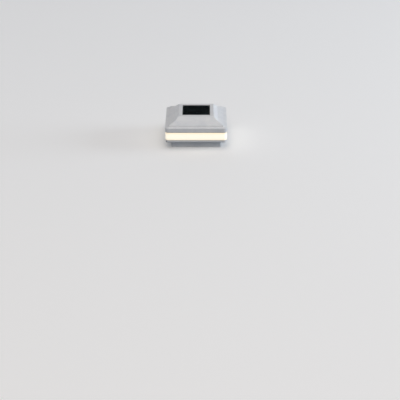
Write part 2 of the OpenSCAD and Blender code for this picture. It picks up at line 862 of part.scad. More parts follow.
module switch_terminals() {
    color("gold") for (i = [-1 : 1]) translate([i * pin_pitch, -switch_y, switch_z + switch_h])
        block([-pin_w / 2, -pin_t / 2, 0], [pin_w / 2, pin_t / 2, pin_h]);
}

module switch_screws() {
    color("silver") at_switch_screws(switch_z + switch_ear_t)
        screw_down(small_screw_d, small_screw_l, switch_head_d, small_head_h);
}

// Knob at its ON end; it slides towards +X by switch_travel
module switch_knob() {
    color("black") translate([-switch_travel / 2, -switch_y, 0]) difference() {
        union() {
            block([-knob_w / 2, -knob_w / 2, door_z0], [knob_w / 2, knob_w / 2, plunger_z + plunger_t / 2]);
            block([-plunger_l / 2, -plunger_w / 2, plunger_z],
                [plunger_l / 2, plunger_w / 2, plunger_z + plunger_t]);
            block([-stem_w / 2, -stem_w / 2, plunger_z], [stem_w / 2, stem_w / 2, switch_z + stem_h]);
        }
        // Grip grooves across the knob
        for (i = [1 : ridge_count]) {
            x = i * knob_w / (ridge_count + 1) - knob_w / 2;
            block([x - ridge_w / 2, -knob_w / 2 - cut, door_z0 - cut],
                [x + ridge_w / 2, knob_w / 2 + cut, door_z0 + ridge_depth]);
        }
    }
}

// ---- light engine ----

module led_carrier() {
    mid_wall = carrier_half - carrier_wall / 2;
    lug_edge = boss_xy - base_boss_r;
    color("white") difference() {
        union() {
            translate([0, 0, floor_z]) linear_extrude(deck_z1 - floor_z) difference() {
                rounded_2d(carrier_half, carrier_r);
                rounded_2d(carrier_in, carrier_r - carrier_wall);
            }
            translate([0, 0, deck_z0]) linear_extrude(deck_t) rounded_2d(mid_wall, carrier_r);
            // Corner lugs between base and cover
            for (a = [0 : 90 : 270]) rotate(a)
                block([lug_edge, lug_edge, lug_z], [mid_wall, mid_wall, lug_top]);
            at_corners(board_screw_x, board_screw_y) translate([0, 0, deck_z0])
                cylinder(r = standoff_r, h = board_z - deck_z0);
        }
        at_corners(boss_xy, boss_xy) {
            translate([0, 0, lug_z - cut])
                cylinder(d = housing_screw_d + 2 * screw_clear, h = lug_t + 2 * cut);
            translate([0, 0, deck_z0 - cut]) cylinder(r = cover_boss_r + boss_room, h = deck_t + 2 * cut);
        }
        at_corners(board_screw_x, board_screw_y) translate([0, 0, board_top - small_screw_l])
            cylinder(d = small_screw_d, h = small_screw_l);
        // Openings in the deck for the battery leads and the switch leads
        for (s = [-1, 1]) translate([s * bay_lead_x, bay_y, deck_z0 - cut])
            cylinder(r = deck_hole_r, h = deck_t + 2 * cut);
        block([-window_margin, switch_lead_y - window_margin, deck_z0 - cut],
            [pin_pitch + window_margin, switch_lead_y + window_margin, deck_z1 + cut]);
    }
}

module led_boards() {
    color("ghostwhite") for (a = [0 : 90 : 270]) rotate(a)
        block([-led_board_half, -carrier_half - led_board_t, led_mid_z - led_board_h / 2],
            [led_board_half, -carrier_half, led_mid_z + led_board_h / 2]);
}

module leds() {
    color("khaki") for (a = [0 : 90 : 270], i = [0 : leds_per_side - 1]) rotate(a)
        translate([-led_board_half + (i + 0.5) * led_pitch, -carrier_half - led_board_t, led_mid_z])
        block([-led_l / 2, -led_t, -led_w / 2], [led_l / 2, 0, led_w / 2]);
}

// Links round three corners, from one board's end to the next
module led_jumpers() {
    level = led_mid_z + led_board_h / 4;
    out = carrier_half + led_board_t / 2;
    run = led_board_half + lead_end;
    bend = out + jumper_bulge;
    route = smooth([[led_board_half, -out, level], [run, -out, level], [bend, -bend, level],
        [out, -run, level], [out, -led_board_half, level]], 3);
    color("red") for (a = [0, 90, 180]) rotate(a) wire(route, lead_d / 2, [0, 0, 1]);
}

// ---- control board ----

module control_board() {
    color("darkgreen") difference() {
        block([-board_l / 2, -board_w / 2, board_z], [board_l / 2, board_w / 2, board_top]);
        at_corners(board_screw_x, board_screw_y) translate([0, 0, board_z - cut])
            cylinder(d = small_screw_d + 2 * screw_clear, h = board_t + 2 * cut);
    }
}

module board_screws() {
    color("silver") at_corners(board_screw_x, board_screw_y) translate([0, 0, board_top])
        screw_down(small_screw_d, small_screw_l, small_head_d, small_head_h);
}

module charge_chip() {
    color("black") translate([chip_x, 0, board_top]) {
        block([-chip_l / 2, -chip_w / 2, chip_lift], [chip_l / 2, chip_w / 2, chip_lift + chip_h]);
        for (s = [-1, 1], i = [0 : chip_pins - 1])
            translate([(i - (chip_pins - 1) / 2) * chip_pin_pitch, s * (chip_w + chip_pin_l) / 2])
            block([-chip_pin_w / 2, -chip_pin_l / 2, 0], [chip_pin_w / 2, chip_pin_l / 2, chip_pin_h]);
    }
}

module choke() {
    color("saddlebrown") translate([choke_xy[0], choke_xy[1], board_top]) {
        cylinder(r = choke_core_r, h = choke_h);
        for (z = [0, choke_h - choke_flange_t]) translate([0, 0, z])
            cylinder(r = choke_r, h = choke_flange_t);
    }
}

module capacitors() {
    color("navy") for (s = [-1, 1]) translate([capacitor_x, s * capacitor_y, board_top]) {
        cylinder(r = capacitor_r, h = capacitor_h - capacitor_crown);
        cylinder(r = capacitor_r - capacitor_rim, h = capacitor_h);
    }
}

module board_sockets() {
    color("ivory") {
        for (s = [-1, 1]) socket([s * bay_socket_x, bay_y]);
        socket([led_socket_x, front_socket_y]);
        socket([switch_socket_x, front_socket_y]);
        socket([0, grommet_y]);
    }
}

module socket(xy) {
    translate([xy[0] - socket_w / 2, xy[1] - socket_w / 2, board_top]) cube([socket_w, socket_w, socket_h]);
}

// ---- fasteners and leads ----

module housing_screws() {
    color("silver") at_corners(boss_xy, boss_xy) translate([0, 0, seat_z + counterbore_h])
        screw(housing_screw_d, housing_screw_l, housing_head_d, housing_head_h);
}

module panel_leads() {
    top = [0, grommet_y, panel_z];
    low = [0, grommet_y, board_top + socket_h];
    route = smooth([top, top - [0, 0, lead_start], (top + low) / 2 + [0, lead_slack, 0],
        low + [0, 0, lead_end], low]);
    color("red") for (s = [-1, 1]) translate([s * pair, 0, 0]) wire(route, lead_d / 2, [1, 0, 0]);
}

module battery_leads() {
    tab_z = box_z + solder_h / 2;
    socket_face = bay_socket_x + socket_w / 2;
    color("red") for (s = [-1, 1]) wire(smooth([
        [s * bay_half_l, bay_y, tab_z], [s * bay_lead_x, bay_y, tab_z], [s * bay_lead_x, bay_y, deck_z0],
        [s * bay_lead_x, bay_y, socket_z], [s * socket_face, bay_y, socket_z]]), lead_d / 2, [0, 1, 0]);
}

module switch_leads() {
    pin_z = switch_z + switch_h + pin_h;
    color("black") for (i = [0, 1]) wire(smooth([
        [i * pin_pitch, -switch_y, pin_z], [i * pin_pitch, -switch_y, pin_z + lead_end],
        [i * pin_pitch, switch_lead_y, deck_z0], [i * pin_pitch, switch_lead_y, socket_z],
        [i * pin_pitch, front_socket_y - socket_w / 2, socket_z]]), lead_d / 2, [1, 0, 0]);
}

// They rise past the deck's edge before they turn in over it
module led_leads() {
    out = carrier_half + led_board_t / 2;
    route = smooth([[0, -out, led_mid_z + led_board_h / 2], [0, -out, deck_z0], [0, -out, deck_z1 + lead_end],
        [0, lead_end - carrier_half, socket_z], [0, front_socket_y - socket_w / 2, socket_z]]);
    color("black") for (s = [-1, 1]) translate([led_socket_x + s * pair, 0, 0])
        wire(route, lead_d / 2, [1, 0, 0]);
}

base_pan();
lower_gasket();
lens_ring();
upper_gasket();
top_cover();
panel_tape();
panel_board();
solar_cells();
cell_ribbons();
panel_resin();
lead_grommet();
led_carrier();
led_boards();
leds();
led_jumpers();
control_board();
charge_chip();
choke();
capacitors();
board_sockets();
board_screws();
battery_box();
box_screws();
battery_cell();
battery_sleeve();
spring_contact();
plate_contact();
battery_door();
door_seal();
switch_body();
switch_terminals();
switch_screws();
switch_knob();
housing_screws();
panel_leads();
battery_leads();
switch_leads();
led_leads();
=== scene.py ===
import math

import bmesh
import bpy
from mathutils import Matrix, Vector


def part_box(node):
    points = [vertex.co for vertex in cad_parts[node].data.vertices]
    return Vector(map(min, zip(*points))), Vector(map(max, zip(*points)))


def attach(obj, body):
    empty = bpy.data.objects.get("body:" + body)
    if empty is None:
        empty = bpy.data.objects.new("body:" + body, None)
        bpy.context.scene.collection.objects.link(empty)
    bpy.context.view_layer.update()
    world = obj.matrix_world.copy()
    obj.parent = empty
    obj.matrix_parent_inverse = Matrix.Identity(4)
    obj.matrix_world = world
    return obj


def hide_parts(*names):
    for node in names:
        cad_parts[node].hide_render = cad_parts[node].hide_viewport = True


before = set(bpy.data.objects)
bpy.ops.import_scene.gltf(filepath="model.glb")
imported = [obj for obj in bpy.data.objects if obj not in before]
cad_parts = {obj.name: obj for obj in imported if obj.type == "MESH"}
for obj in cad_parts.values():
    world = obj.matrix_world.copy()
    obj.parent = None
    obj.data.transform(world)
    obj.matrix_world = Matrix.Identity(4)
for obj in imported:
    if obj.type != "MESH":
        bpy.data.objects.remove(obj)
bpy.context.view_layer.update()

# ---- Camera ----
# A long lens stands well in front of the cap and looks down at it, so that the roof and its panel show above
# the front face. Its place, tilt and focal length come from the edges of the cap in the photograph.
mm = 0.001
camera_place = (7.2 * mm, -2135.4 * mm, 873.3 * mm)
camera_tilt = 64.782  # degrees from straight down
focal_length, sensor_w = 108, 36
near, far = 10 * mm, 60

camera = bpy.data.objects.new("camera", bpy.data.cameras.new("camera"))
bpy.context.scene.collection.objects.link(camera)
camera.location = camera_place
camera.rotation_euler = (math.radians(camera_tilt), 0, 0)
camera.data.lens, camera.data.sensor_width = focal_length, sensor_w
camera.data.clip_start, camera.data.clip_end = near, far
bpy.context.scene.camera = camera


# ---- Studio ----
# A pale matt floor under a broad soft light overhead and a faint band round the horizon. A soft box stands
# low on the right, for the slopes there and the upright corners, and a weak warm one hangs in front. A wide
# patch low in the sky fills the back, and gives no reflections.
def linear(hex_colour, alpha=1.0):
    """Linear RGBA of an sRGB colour written as six hex digits."""
    parts = [int(hex_colour[i : i + 2], 16) / 255 for i in (0, 2, 4)]
    return *((c / 12.92 if c <= 0.04045 else ((c + 0.055) / 1.055) ** 2.4) for c in parts), alpha


def add(tree, kind, inputs=None, **settings):
    """Adds a node with its settings. inputs gives each input a value, a socket or a node's first output."""
    node = tree.nodes.new(kind)
    for name, value in settings.items():
        setattr(node, name, value)
    for key, value in (inputs or {}).items():
        if isinstance(value, bpy.types.Node):
            value = value.outputs[0]
        if isinstance(value, bpy.types.NodeSocket):
            tree.links.new(value, node.inputs[key])
        else:
            node.inputs[key].default_value = value
    return node


def soft_box(name, place, side, watts, colour):
    """Square area lamp at place, turned towards the middle of the cap."""
    middle = Vector((0, 0, 30 * mm))
    data = bpy.data.lights.new(name, "AREA")
    data.shape = "SQUARE"
    data.size = side
    data.energy = watts
    data.color = linear(colour)[:3]
    lamp = bpy.data.objects.new(name, data)
    lamp.location = place
    lamp.visible_camera = False
    lamp.rotation_euler = (Vector(place) - middle).to_track_quat("Z", "Y").to_euler()
    bpy.context.scene.collection.objects.link(lamp)


soft_box("key_right", (3.16, 0.17, 0.50), 1.4, 70, "E6F2FF")
soft_box("fill_front", (-0.18, -2.05, 2.48), 1.4, 12, "FFE8CC")

bpy.context.scene.view_settings.view_transform = "Standard"
world = bpy.data.worlds.new("studio")
bpy.context.scene.world = world
world.use_nodes = True
sky = world.node_tree
sky.nodes.clear()
colour_a, colour_b, colour_out = 6, 7, 2  # sockets of a colour mix
overhead = Vector((0, -0.48, 0.88))  # towards the middle of the broad light
behind = Vector((0, 0.97, 0.24))  # towards the middle of the patch that fills the back
skywards = add(sky, "ShaderNodeTexCoord").outputs["Generated"]
level = add(sky, "ShaderNodeSeparateXYZ", {0: skywards}).outputs["Z"]
round_lights = []
for middle, edge, strength in ((overhead, 0.45, 1.06), (behind, 0.5, 0.75)):
    facing = add(sky, "ShaderNodeVectorMath", {0: skywards, 1: middle}, operation="DOT_PRODUCT")
    facing = {"Value": facing.outputs["Value"], "From Min": edge, "From Max": 1.0, "To Max": strength}
    round_lights.append(add(sky, "ShaderNodeMapRange", facing, interpolation_type="SMOOTHSTEP"))
broad, patch = round_lights
band = {"Value": level, "From Min": 0.0, "From Max": 0.3, "To Min": 0.75, "To Max": 0.0}
band = add(sky, "ShaderNodeMapRange", band, interpolation_type="SMOOTHSTEP")
rays = add(sky, "ShaderNodeLightPath").outputs
mirrored = {0: rays["Is Glossy Ray"], 1: rays["Is Transmission Ray"]}
mirrored = add(sky, "ShaderNodeMath", mirrored, operation="MAXIMUM")
plain = add(sky, "ShaderNodeMath", {0: 1.0, 1: mirrored}, operation="SUBTRACT")
band = add(sky, "ShaderNodeMath", {0: patch, 1: plain, 2: band}, operation="MULTIPLY_ADD")
broad = add(sky, "ShaderNodeBackground", {"Color": linear("F8FAFF"), "Strength": broad})
band = add(sky, "ShaderNodeBackground", {"Color": linear("F2F6FF"), "Strength": band})
lights = add(sky, "ShaderNodeAddShader", {0: broad, 1: band})
backdrop = add(sky, "ShaderNodeBackground", {"Color": linear("DCDDDE")})
lights = add(sky, "ShaderNodeMixShader", {0: rays["Is Camera Ray"], 1: lights, 2: backdrop})
add(sky, "ShaderNodeOutputWorld", {"Surface": lights})


def new_material(name):
    """Empty node material, its tree, and the object's own coordinates for its patterns."""
    material = bpy.data.materials.new(name)
    material.use_nodes = True
    tree = material.node_tree
    tree.nodes.clear()
    return material, tree, add(tree, "ShaderNodeTexCoord").outputs["Object"]


floor_half, floor_drop = 30, 0.02 * mm
corners = ((-1, -1), (1, -1), (1, 1), (-1, 1))
corners = [(x * floor_half, y * floor_half, -floor_drop) for x, y in corners]
floor_mesh = bpy.data.meshes.new("floor")
floor_mesh.from_pydata(corners, [], [(0, 1, 2, 3)])
floor = bpy.data.objects.new("floor", floor_mesh)
bpy.context.scene.collection.objects.link(floor)
# Painted board, matt: pale to the camera and in reflections, but it throws only little light up at the cap.
# For a camera below it, it isn't there: such a path goes through its back, and all that follows it may too.
material, tree, place = new_material("matt_painted_floor")
rays = add(tree, "ShaderNodeLightPath").outputs
back = add(tree, "ShaderNodeNewGeometry").outputs["Backfacing"]
gone = add(tree, "ShaderNodeMath", {0: back, 1: rays["Transparent Depth"]}, operation="ADD", use_clamp=True)
seen = add(tree, "ShaderNodeMath", {0: rays["Is Camera Ray"], 1: rays["Is Glossy Ray"]}, operation="MAXIMUM")
seen = add(tree, "ShaderNodeMath", {0: seen, 1: rays["Is Transmission Ray"]}, operation="MAXIMUM")
paint = {"Factor": seen, colour_a: linear("566472"), colour_b: linear("F1F0EE")}
paint = add(tree, "ShaderNodeMix", paint, data_type="RGBA").outputs[colour_out]
lift = add(tree, "ShaderNodeMath", {0: seen, 1: 0.12}, operation="MULTIPLY")
paint = {"Base Color": paint, "Roughness": 0.9, "Specular IOR Level": 0.1, "Emission Strength": lift}
paint = add(tree, "ShaderNodeBsdfPrincipled", {**paint, "Emission Color": linear("FFFFFF")})
clear = add(tree, "ShaderNodeBsdfTransparent")
paint = add(tree, "ShaderNodeMixShader", {0: gone, 1: paint, 2: clear})
add(tree, "ShaderNodeOutputMaterial", {"Surface": paint})
floor_mesh.materials.append(material)


# ---- Base pan ----
# White ASA moulding: a square skirt open below, the floor that closes it above, and the lip that carries the
# lens band. Injection moulded, with the battery opening, switch slot and screw holes cored in its floor.
def coated(tree, pattern, pale, deep, relief, depth, surface):
    """Ends a material: two colours mixed by a pattern, a relief, and the surface's other inputs."""
    tint = {"Factor": pattern, colour_a: linear(pale), colour_b: linear(deep)}
    tint = add(tree, "ShaderNodeMix", tint, data_type="RGBA").outputs[colour_out]
    felt = add(tree, "ShaderNodeBump", {"Height": relief, "Distance": depth})
    surface = add(tree, "ShaderNodeBsdfPrincipled", {"Base Color": tint, "Normal": felt, **surface})
    add(tree, "ShaderNodeOutputMaterial", {"Surface": surface})


def moulded(name, colour, deeper, roughness, grain, depth, ior=1.5):
    """Moulded plastic: the tool's eroded grain, flow marks in its gloss and a faint mottle in its colour."""
    flow_size, spread = 14 * mm, 0.08
    material, tree, place = new_material(name)
    flow = add(tree, "ShaderNodeTexNoise", {"Vector": place, "Scale": 1 / flow_size, "Detail": 3.0})
    grit = add(tree, "ShaderNodeTexNoise", {"Vector": place, "Scale": 1 / grain, "Detail": 4.0})
    fade = add(tree, "ShaderNodeMapRange", {"Value": flow, "From Min": 0.3, "From Max": 0.7})
    gloss = {"Value": flow, "To Min": roughness - spread, "To Max": roughness + spread}
    gloss = add(tree, "ShaderNodeMapRange", gloss)
    coated(tree, fade, colour, deeper, grit, depth, {"Roughness": gloss, "IOR": ior})
    return material


# ASA, moulded in a fine-grained tool: satin white, with a soft highlight that follows the edges
asa_white = moulded("moulded_asa_white", "EDEDEC", "E4E5E6", 0.34, 0.5 * mm, 0.006 * mm)


def new_piece(name, mesh, *materials):
    """Object at the origin for a finished mesh."""
    obj = bpy.data.objects.new(name, mesh)
    bpy.context.scene.collection.objects.link(obj)
    mesh.materials.clear()
    for material in materials:
        mesh.materials.append(material)
    return obj


def from_bmesh(name, shape, *materials):
    """Object at the origin for a finished bmesh."""
    mesh = bpy.data.meshes.new(name)
    shape.to_mesh(mesh)
    shape.free()
    return new_piece(name, mesh, *materials)


def applied(obj):
    """Turns an object and its modifiers into a plain mesh."""
    graph = bpy.context.evaluated_depsgraph_get()
    mesh = bpy.data.meshes.new_from_object(obj.evaluated_get(graph), depsgraph=graph)
    obj.modifiers.clear()
    obj.data = mesh
    return obj


def boolean(obj, tool, operation, solver="MANIFOLD"):
    """Joins a tool mesh to obj or cuts it out, and removes the tool."""
    modifier = obj.modifiers.new("boolean", "BOOLEAN")
    modifier.object = tool
    modifier.operation = operation
    modifier.solver = solver
    applied(obj)
    bpy.data.objects.remove(tool)


def finished(obj, slot, *nodes, body="housing", sharp=35):
    """Shades a piece smooth up to a sharp angle with its flat faces flat, and hands it to the frame."""
    obj.data.shade_smooth()
    obj.data.set_sharp_from_angle(angle=math.radians(sharp))
    obj.modifiers.new("flat_faces", "WEIGHTED_NORMAL").keep_sharp = True
    applied(obj)
    if nodes:
        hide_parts(*nodes)
    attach(obj, body)
    return obj


def merged_copy(node):
    """bmesh of a CAD node with its loose triangles joined and its flat faces made whole."""
    shape = bmesh.new()
    shape.from_mesh(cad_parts[node].data)
    bmesh.ops.remove_doubles(shape, verts=shape.verts, dist=0.0005 * mm)
    bmesh.ops.dissolve_limit(shape, angle_limit=math.radians(1), verts=shape.verts, edges=shape.edges)
    return shape


def soften(shape, width, segments=2, chosen=lambda edge: True, sharp=30):
    """Rounds the chosen sharp edges of a bmesh."""
    limit = math.radians(sharp)
    edges = [e for e in shape.edges if e.is_manifold and e.calc_face_angle(0) > limit and chosen(e)]
    round_over = {"profile": 0.5, "affect": "EDGES", "clamp_overlap": True}
    bmesh.ops.bevel(shape, geom=edges, offset=width, segments=segments, **round_over)
    return shape


def level_at(z, reach=1.0):
    """Test for an edge that lies level at z, no further than reach from the middle."""
    near = 0.01 * mm

    def there(spot):
        return abs(spot.z - z) < near and max(abs(spot.x), abs(spot.y)) < reach

    return lambda edge: all(there(v.co) for v in edge.verts)


def cad_copy(name, node, material, soft, segments=2, chosen=lambda edge: True):
    """Object with the shape of a CAD node, its chosen sharp edges rounded."""
    return from_bmesh(name, soften(merged_copy(node), soft, segments, chosen), material)


base_low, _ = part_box("base_pan")
seat_z = 13 * mm
pocket_half = 45.2 * mm
shape = merged_copy("base_pan")
soften(shape, 0.45 * mm, 3, level_at(base_low.z))
soften(shape, 0.2 * mm, 2, level_at(seat_z, pocket_half - mm))
base = from_bmesh("base_pan_shell", shape, asa_white)

# ON and OFF, engraved in the seat at the two ends of the switch slot, to be read from below
mark_size = 3 * mm
mark_depth = 0.3 * mm
switch_y = -22 * mm
for word, x in (("ON", -8.4 * mm), ("OFF", 9 * mm)):
    text = bpy.data.curves.new("mark", "FONT")
    text.body = word
    text.size = mark_size
    text.extrude = mark_depth
    text.align_x = text.align_y = "CENTER"
    mark = bpy.data.objects.new("mark", text)
    bpy.context.scene.collection.objects.link(mark)
    flat = bpy.data.meshes.new_from_object(mark.evaluated_get(bpy.context.evaluated_depsgraph_get()))
    bpy.data.objects.remove(mark)
    letters = bmesh.new()
    letters.from_mesh(flat)
    bmesh.ops.remove_doubles(letters, verts=letters.verts, dist=0.001 * mm)
    place = Matrix.Translation((x, switch_y, seat_z)) @ Matrix.Rotation(math.pi, 4, "X")
    bmesh.ops.transform(letters, matrix=place, verts=letters.verts)
    boolean(base, from_bmesh("tool", letters), "DIFFERENCE", "EXACT")
base.data.materials.clear()
base.data.materials.append(asa_white)
finished(base, "white_asa", "base_pan")

# ---- Battery door ----
# White ASA flap over the battery bay, with two hinge knuckles whose stub pins snap into the base, a springy
# latch on its free edge and three grip grooves. A soft rubber seal lies in the rebate above it.
door = cad_copy("battery_door_leaf", "battery_door", asa_white, 0.15 * mm)
finished(door, "white_asa", "battery_door", body="door")

# Silicone rubber, moulded: dull dark grey with a fine tooth, so that it never shines
silicone_grey = moulded("moulded_silicone_rubber", "47494C", "3D3F42", 0.72, 0.4 * mm, 0.01 * mm, 1.42)
seal = cad_copy("door_seal_ring", "door_seal", silicone_grey, 0.25 * mm, 3)
finished(seal, "seal_rubber", "door_seal")


# ---- Slide switch ----
# Bought-in slide switch: a folded zinc-plated frame on two screws, three brass terminals on top, and a black
# acetal knob with grip ridges that slides in the base's slot.
def plated(name, colour, deeper, roughness, patch, depth):
    """Plated or bare metal: cloudy patches in the colour and the gloss, and a faint rolled grain."""
    grain_size, spread = 0.25 * mm, 0.1
    material, tree, place = new_material(name)
    cloud = add(tree, "ShaderNodeTexNoise", {"Vector": place, "Scale": 1 / patch, "Detail": 4.0})
    fine = add(tree, "ShaderNodeTexNoise", {"Vector": place, "Scale": 1 / grain_size, "Detail": 2.0})
    gloss = {"Value": cloud, "To Min": roughness - spread, "To Max": roughness + spread}
    gloss = add(tree, "ShaderNodeMapRange", gloss)
    coated(tree, cloud, colour, deeper, fine, depth, {"Metallic": 1.0, "Roughness": gloss})
    return material


# Steel, zinc plated and blue passivated: bright grey with a slight haze
zinc_steel = plated("zinc_plated_steel", "C3C8CE", "A9AEB6", 0.34, 2.5 * mm, 0.002 * mm)
switch = cad_copy("switch_frame", "switch_body", zinc_steel, 0.18 * mm)
finished(switch, "zinc_steel", "switch_body")

# Acetal, moulded and slightly waxy: near black with a soft sheen
acetal_black = moulded("moulded_acetal_black", "17181A", "202124", 0.42, 0.35 * mm, 0.006 * mm, 1.48)
grip = cad_copy("switch_knob_grip", "switch_knob", acetal_black, 0.12 * mm)
finished(grip, "knob_black", "switch_knob", body="knob")


def soft_block(low, high, soft=0.0):
    """bmesh of a box from one corner to the opposite one, with rounded edges."""
    part = bmesh.new()
    bmesh.ops.create_cube(part, size=1)
    low, high = Vector(low), Vector(high)
    place = Matrix.Translation((low + high) / 2) @ Matrix.Diagonal((*(high - low), 1))
    bmesh.ops.transform(part, matrix=place, verts=part.verts)
    if soft:
        bmesh.ops.bevel(part, geom=part.edges[:], offset=soft, segments=2, profile=0.5, affect="EDGES")
    return part


def pointing(along):
    """Turn that lays the z axis along a direction."""
    return Vector((0, 0, 1)).rotation_difference(Vector(along)).to_matrix().to_4x4()


def drum(centre, radius, low, high, along=(0, 0, 1)):
    """Cylinder about a line through centre, as a tool for boolean."""
    part = bmesh.new()
    place = Matrix.Translation(centre) @ pointing(along) @ Matrix.Translation((0, 0, (low + high) / 2))
    size = {"segments": 32, "radius1": radius, "radius2": radius, "depth": high - low}
    bmesh.ops.create_cone(part, cap_ends=True, matrix=place, **size)
    return from_bmesh("tool", part)


def new_tree(name, **sizes):
    """Geometry tree with named inputs, a finish among them, and the sockets that it is given."""
    tree = bpy.data.node_groups.new(name, "GeometryNodeTree")
    for size, kind in {"Geometry": "Geometry", **sizes, "Finish": "Material"}.items():
        tree.interface.new_socket(size.replace("_", " "), in_out="INPUT", socket_type="NodeSocket" + kind)
    tree.interface.new_socket("Geometry", in_out="OUTPUT", socket_type="NodeSocketGeometry")
    return tree, tree.nodes.new("NodeGroupInput").outputs


def end_tree(tree, given, made):
    """Ends a geometry tree: its instances made real, in the given finish."""
    real = add(tree, "GeometryNodeRealizeInstances", {"Geometry": made})
    dressed = add(tree, "GeometryNodeSetMaterial", {"Geometry": real, "Material": given["Finish"]})
    add(tree, "NodeGroupOutput", {0: dressed})
    return tree


def grown(obj, tree, **sizes):
    """Runs a geometry tree on obj with its named inputs set, and makes the result a plain mesh."""
    modifier = obj.modifiers.new("grow", "NODES")
    modifier.node_group = tree
    for item in tree.interface.items_tree:
        key = item.name.replace(" ", "_")
        if item.in_out == "INPUT" and key in sizes:
            modifier[item.identifier] = sizes[key]
    return applied(obj)


# Repeats the geometry that it is given along a step, and that row again in turns about the z axis
repeated, given = new_tree("repeated_part", Count="Int", Step="Vector", Rows="Int", Turn="Float")
spots = add(repeated, "GeometryNodeMeshLine", {"Count": given["Count"], "Offset": given["Step"]})
row = add(repeated, "GeometryNodeInstanceOnPoints", {"Points": spots, "Instance": given["Geometry"]})
middles = add(repeated, "GeometryNodeMeshLine", {"Count": given["Rows"], "Offset": (0.0, 0.0, 0.0)})
index = add(repeated, "GeometryNodeInputIndex")
angle = add(repeated, "ShaderNodeMath", {0: index, 1: given["Turn"]}, operation="MULTIPLY")
turn = add(repeated, "ShaderNodeCombineXYZ", {"Z": angle})
rows = add(repeated, "GeometryNodeInstanceOnPoints", {"Points": middles, "Instance": row, "Rotation": turn})
end_tree(repeated, given, rows)


def repeat(obj, material, count=1, step=(0.0, 0.0, 0.0), rows=1, turn=0.0):
    """Repeats a piece along a step, and that row in turns about the z axis."""
    return grown(obj, repeated, Count=count, Step=step, Rows=rows, Turn=turn, Finish=material)


# Brass, stamped: warm yellow with a dull bloom
brass = plated("stamped_brass", "C9A55A", "B38F48", 0.36, 1.5 * mm, 0.003 * mm)
low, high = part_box("switch_terminals")
terminal_w = 1.2 * mm
terminal_pitch = (high.x - low.x - terminal_w) / 2
terminal = soft_block(low, (low.x + terminal_w, high.y, high.z), 0.08 * mm)
terminal = from_bmesh("switch_terminal_set", terminal, brass)
eye = (low.x + terminal_w / 2, (low.y + high.y) / 2, high.z - 0.8 * mm)
boolean(terminal, drum(eye, 0.3 * mm, -mm, mm, (0, 1, 0)), "DIFFERENCE")
finished(repeat(terminal, brass, 3, (terminal_pitch, 0.0, 0.0)), "pin_brass", "switch_terminals")

# ---- Small screws ----
# Pan head self-tapping screws with a cross recess, zinc plated: two hold the switch, two the battery box and
# four the control board. Each is cold headed and thread rolled, and no two stop at the same angle.
# The tree puts a screw on every point: its head above the point, its shank below, or the other way up.
sizes = ("Shank_Diameter", "Shank_Length", "Head_Diameter", "Head_Height", "Thread_Pitch", "Tip_Up")
screw, given = new_tree("pan_head_screw", **dict.fromkeys(sizes, "Float"))
thread_depth = 0.13  # of the shank's diameter
core_share = 0.5 - thread_depth
threaded_share, thread_foot = 0.86, -0.96  # of the shank's length
crown_cut = 2.6  # how far the ball of the head is swelled before its crown is cut flat
wing_l, wing_w, wing_h = 0.54, 0.15, 1.1  # cross recess, of the head's diameter and height
shank_l, head_d, head_h = given["Shank Length"], given["Head Diameter"], given["Head Height"]
core_r = add(screw, "ShaderNodeMath", {0: given["Shank Diameter"], 1: core_share}, operation="MULTIPLY")
core = add(screw, "GeometryNodeMeshCylinder", {"Vertices": 24, "Radius": core_r, "Depth": shank_l})
shift = add(screw, "ShaderNodeVectorMath", {0: (0.0, 0.0, -0.5), 3: shank_l}, operation="SCALE")
core = add(screw, "GeometryNodeTransform", {"Geometry": core, "Translation": shift})
rib_h = add(screw, "ShaderNodeMath", {0: shank_l, 1: threaded_share}, operation="MULTIPLY")
coils = add(screw, "ShaderNodeMath", {0: rib_h, 1: given["Thread Pitch"]}, operation="DIVIDE")
helix = {"Resolution": 20, "Rotations": coils, "Start Radius": core_r, "End Radius": core_r, "Height": rib_h}
helix = add(screw, "GeometryNodeCurveSpiral", helix)
helix = add(screw, "GeometryNodeSetCurveNormal", {"Curve": helix}, mode="Z_UP")
rib_r = add(screw, "ShaderNodeMath", {0: given["Shank Diameter"], 1: thread_depth}, operation="MULTIPLY")
ridge = add(screw, "GeometryNodeCurvePrimitiveCircle", {"Resolution": 3, "Radius": rib_r})
rib = add(screw, "GeometryNodeCurveToMesh", {"Curve": helix, "Profile Curve": ridge, "Fill Caps": True})
shift = add(screw, "ShaderNodeVectorMath", {0: (0.0, 0.0, thread_foot), 3: shank_l}, operation="SCALE")
rib = add(screw, "GeometryNodeTransform", {"Geometry": rib, "Translation": shift})

head_r = add(screw, "ShaderNodeMath", {0: head_d, 1: 0.5}, operation="MULTIPLY")
ball = add(screw, "GeometryNodeMeshUVSphere", {"Segments": 32, "Rings": 24, "Radius": head_r})
spot = add(screw, "ShaderNodeSeparateXYZ", {0: add(screw, "GeometryNodeInputPosition")}).outputs
rise = add(screw, "ShaderNodeMath", {0: head_h, 1: head_d}, operation="DIVIDE")
rise = add(screw, "ShaderNodeMath", {0: rise, 1: spot["Z"]}, operation="MULTIPLY")
rise = add(screw, "ShaderNodeMath", {0: rise, 1: crown_cut}, operation="MULTIPLY")
rise = add(screw, "ShaderNodeMath", {0: rise, 1: 0.0}, operation="MAXIMUM")
rise = add(screw, "ShaderNodeMath", {0: rise, 1: head_h}, operation="MINIMUM")
spot = add(screw, "ShaderNodeCombineXYZ", {"X": spot["X"], "Y": spot["Y"], "Z": rise})
head = add(screw, "GeometryNodeSetPosition", {"Geometry": ball, "Position": spot})
cut = add(screw, "GeometryNodeMeshBoolean", {"Mesh 1": head}, operation="DIFFERENCE", solver="MANIFOLD")
crown = add(screw, "ShaderNodeCombineXYZ", {"Z": head_h})
head = add(screw, "ShaderNodeCombineXYZ", {"X": head_d, "Y": head_d, "Z": head_h})
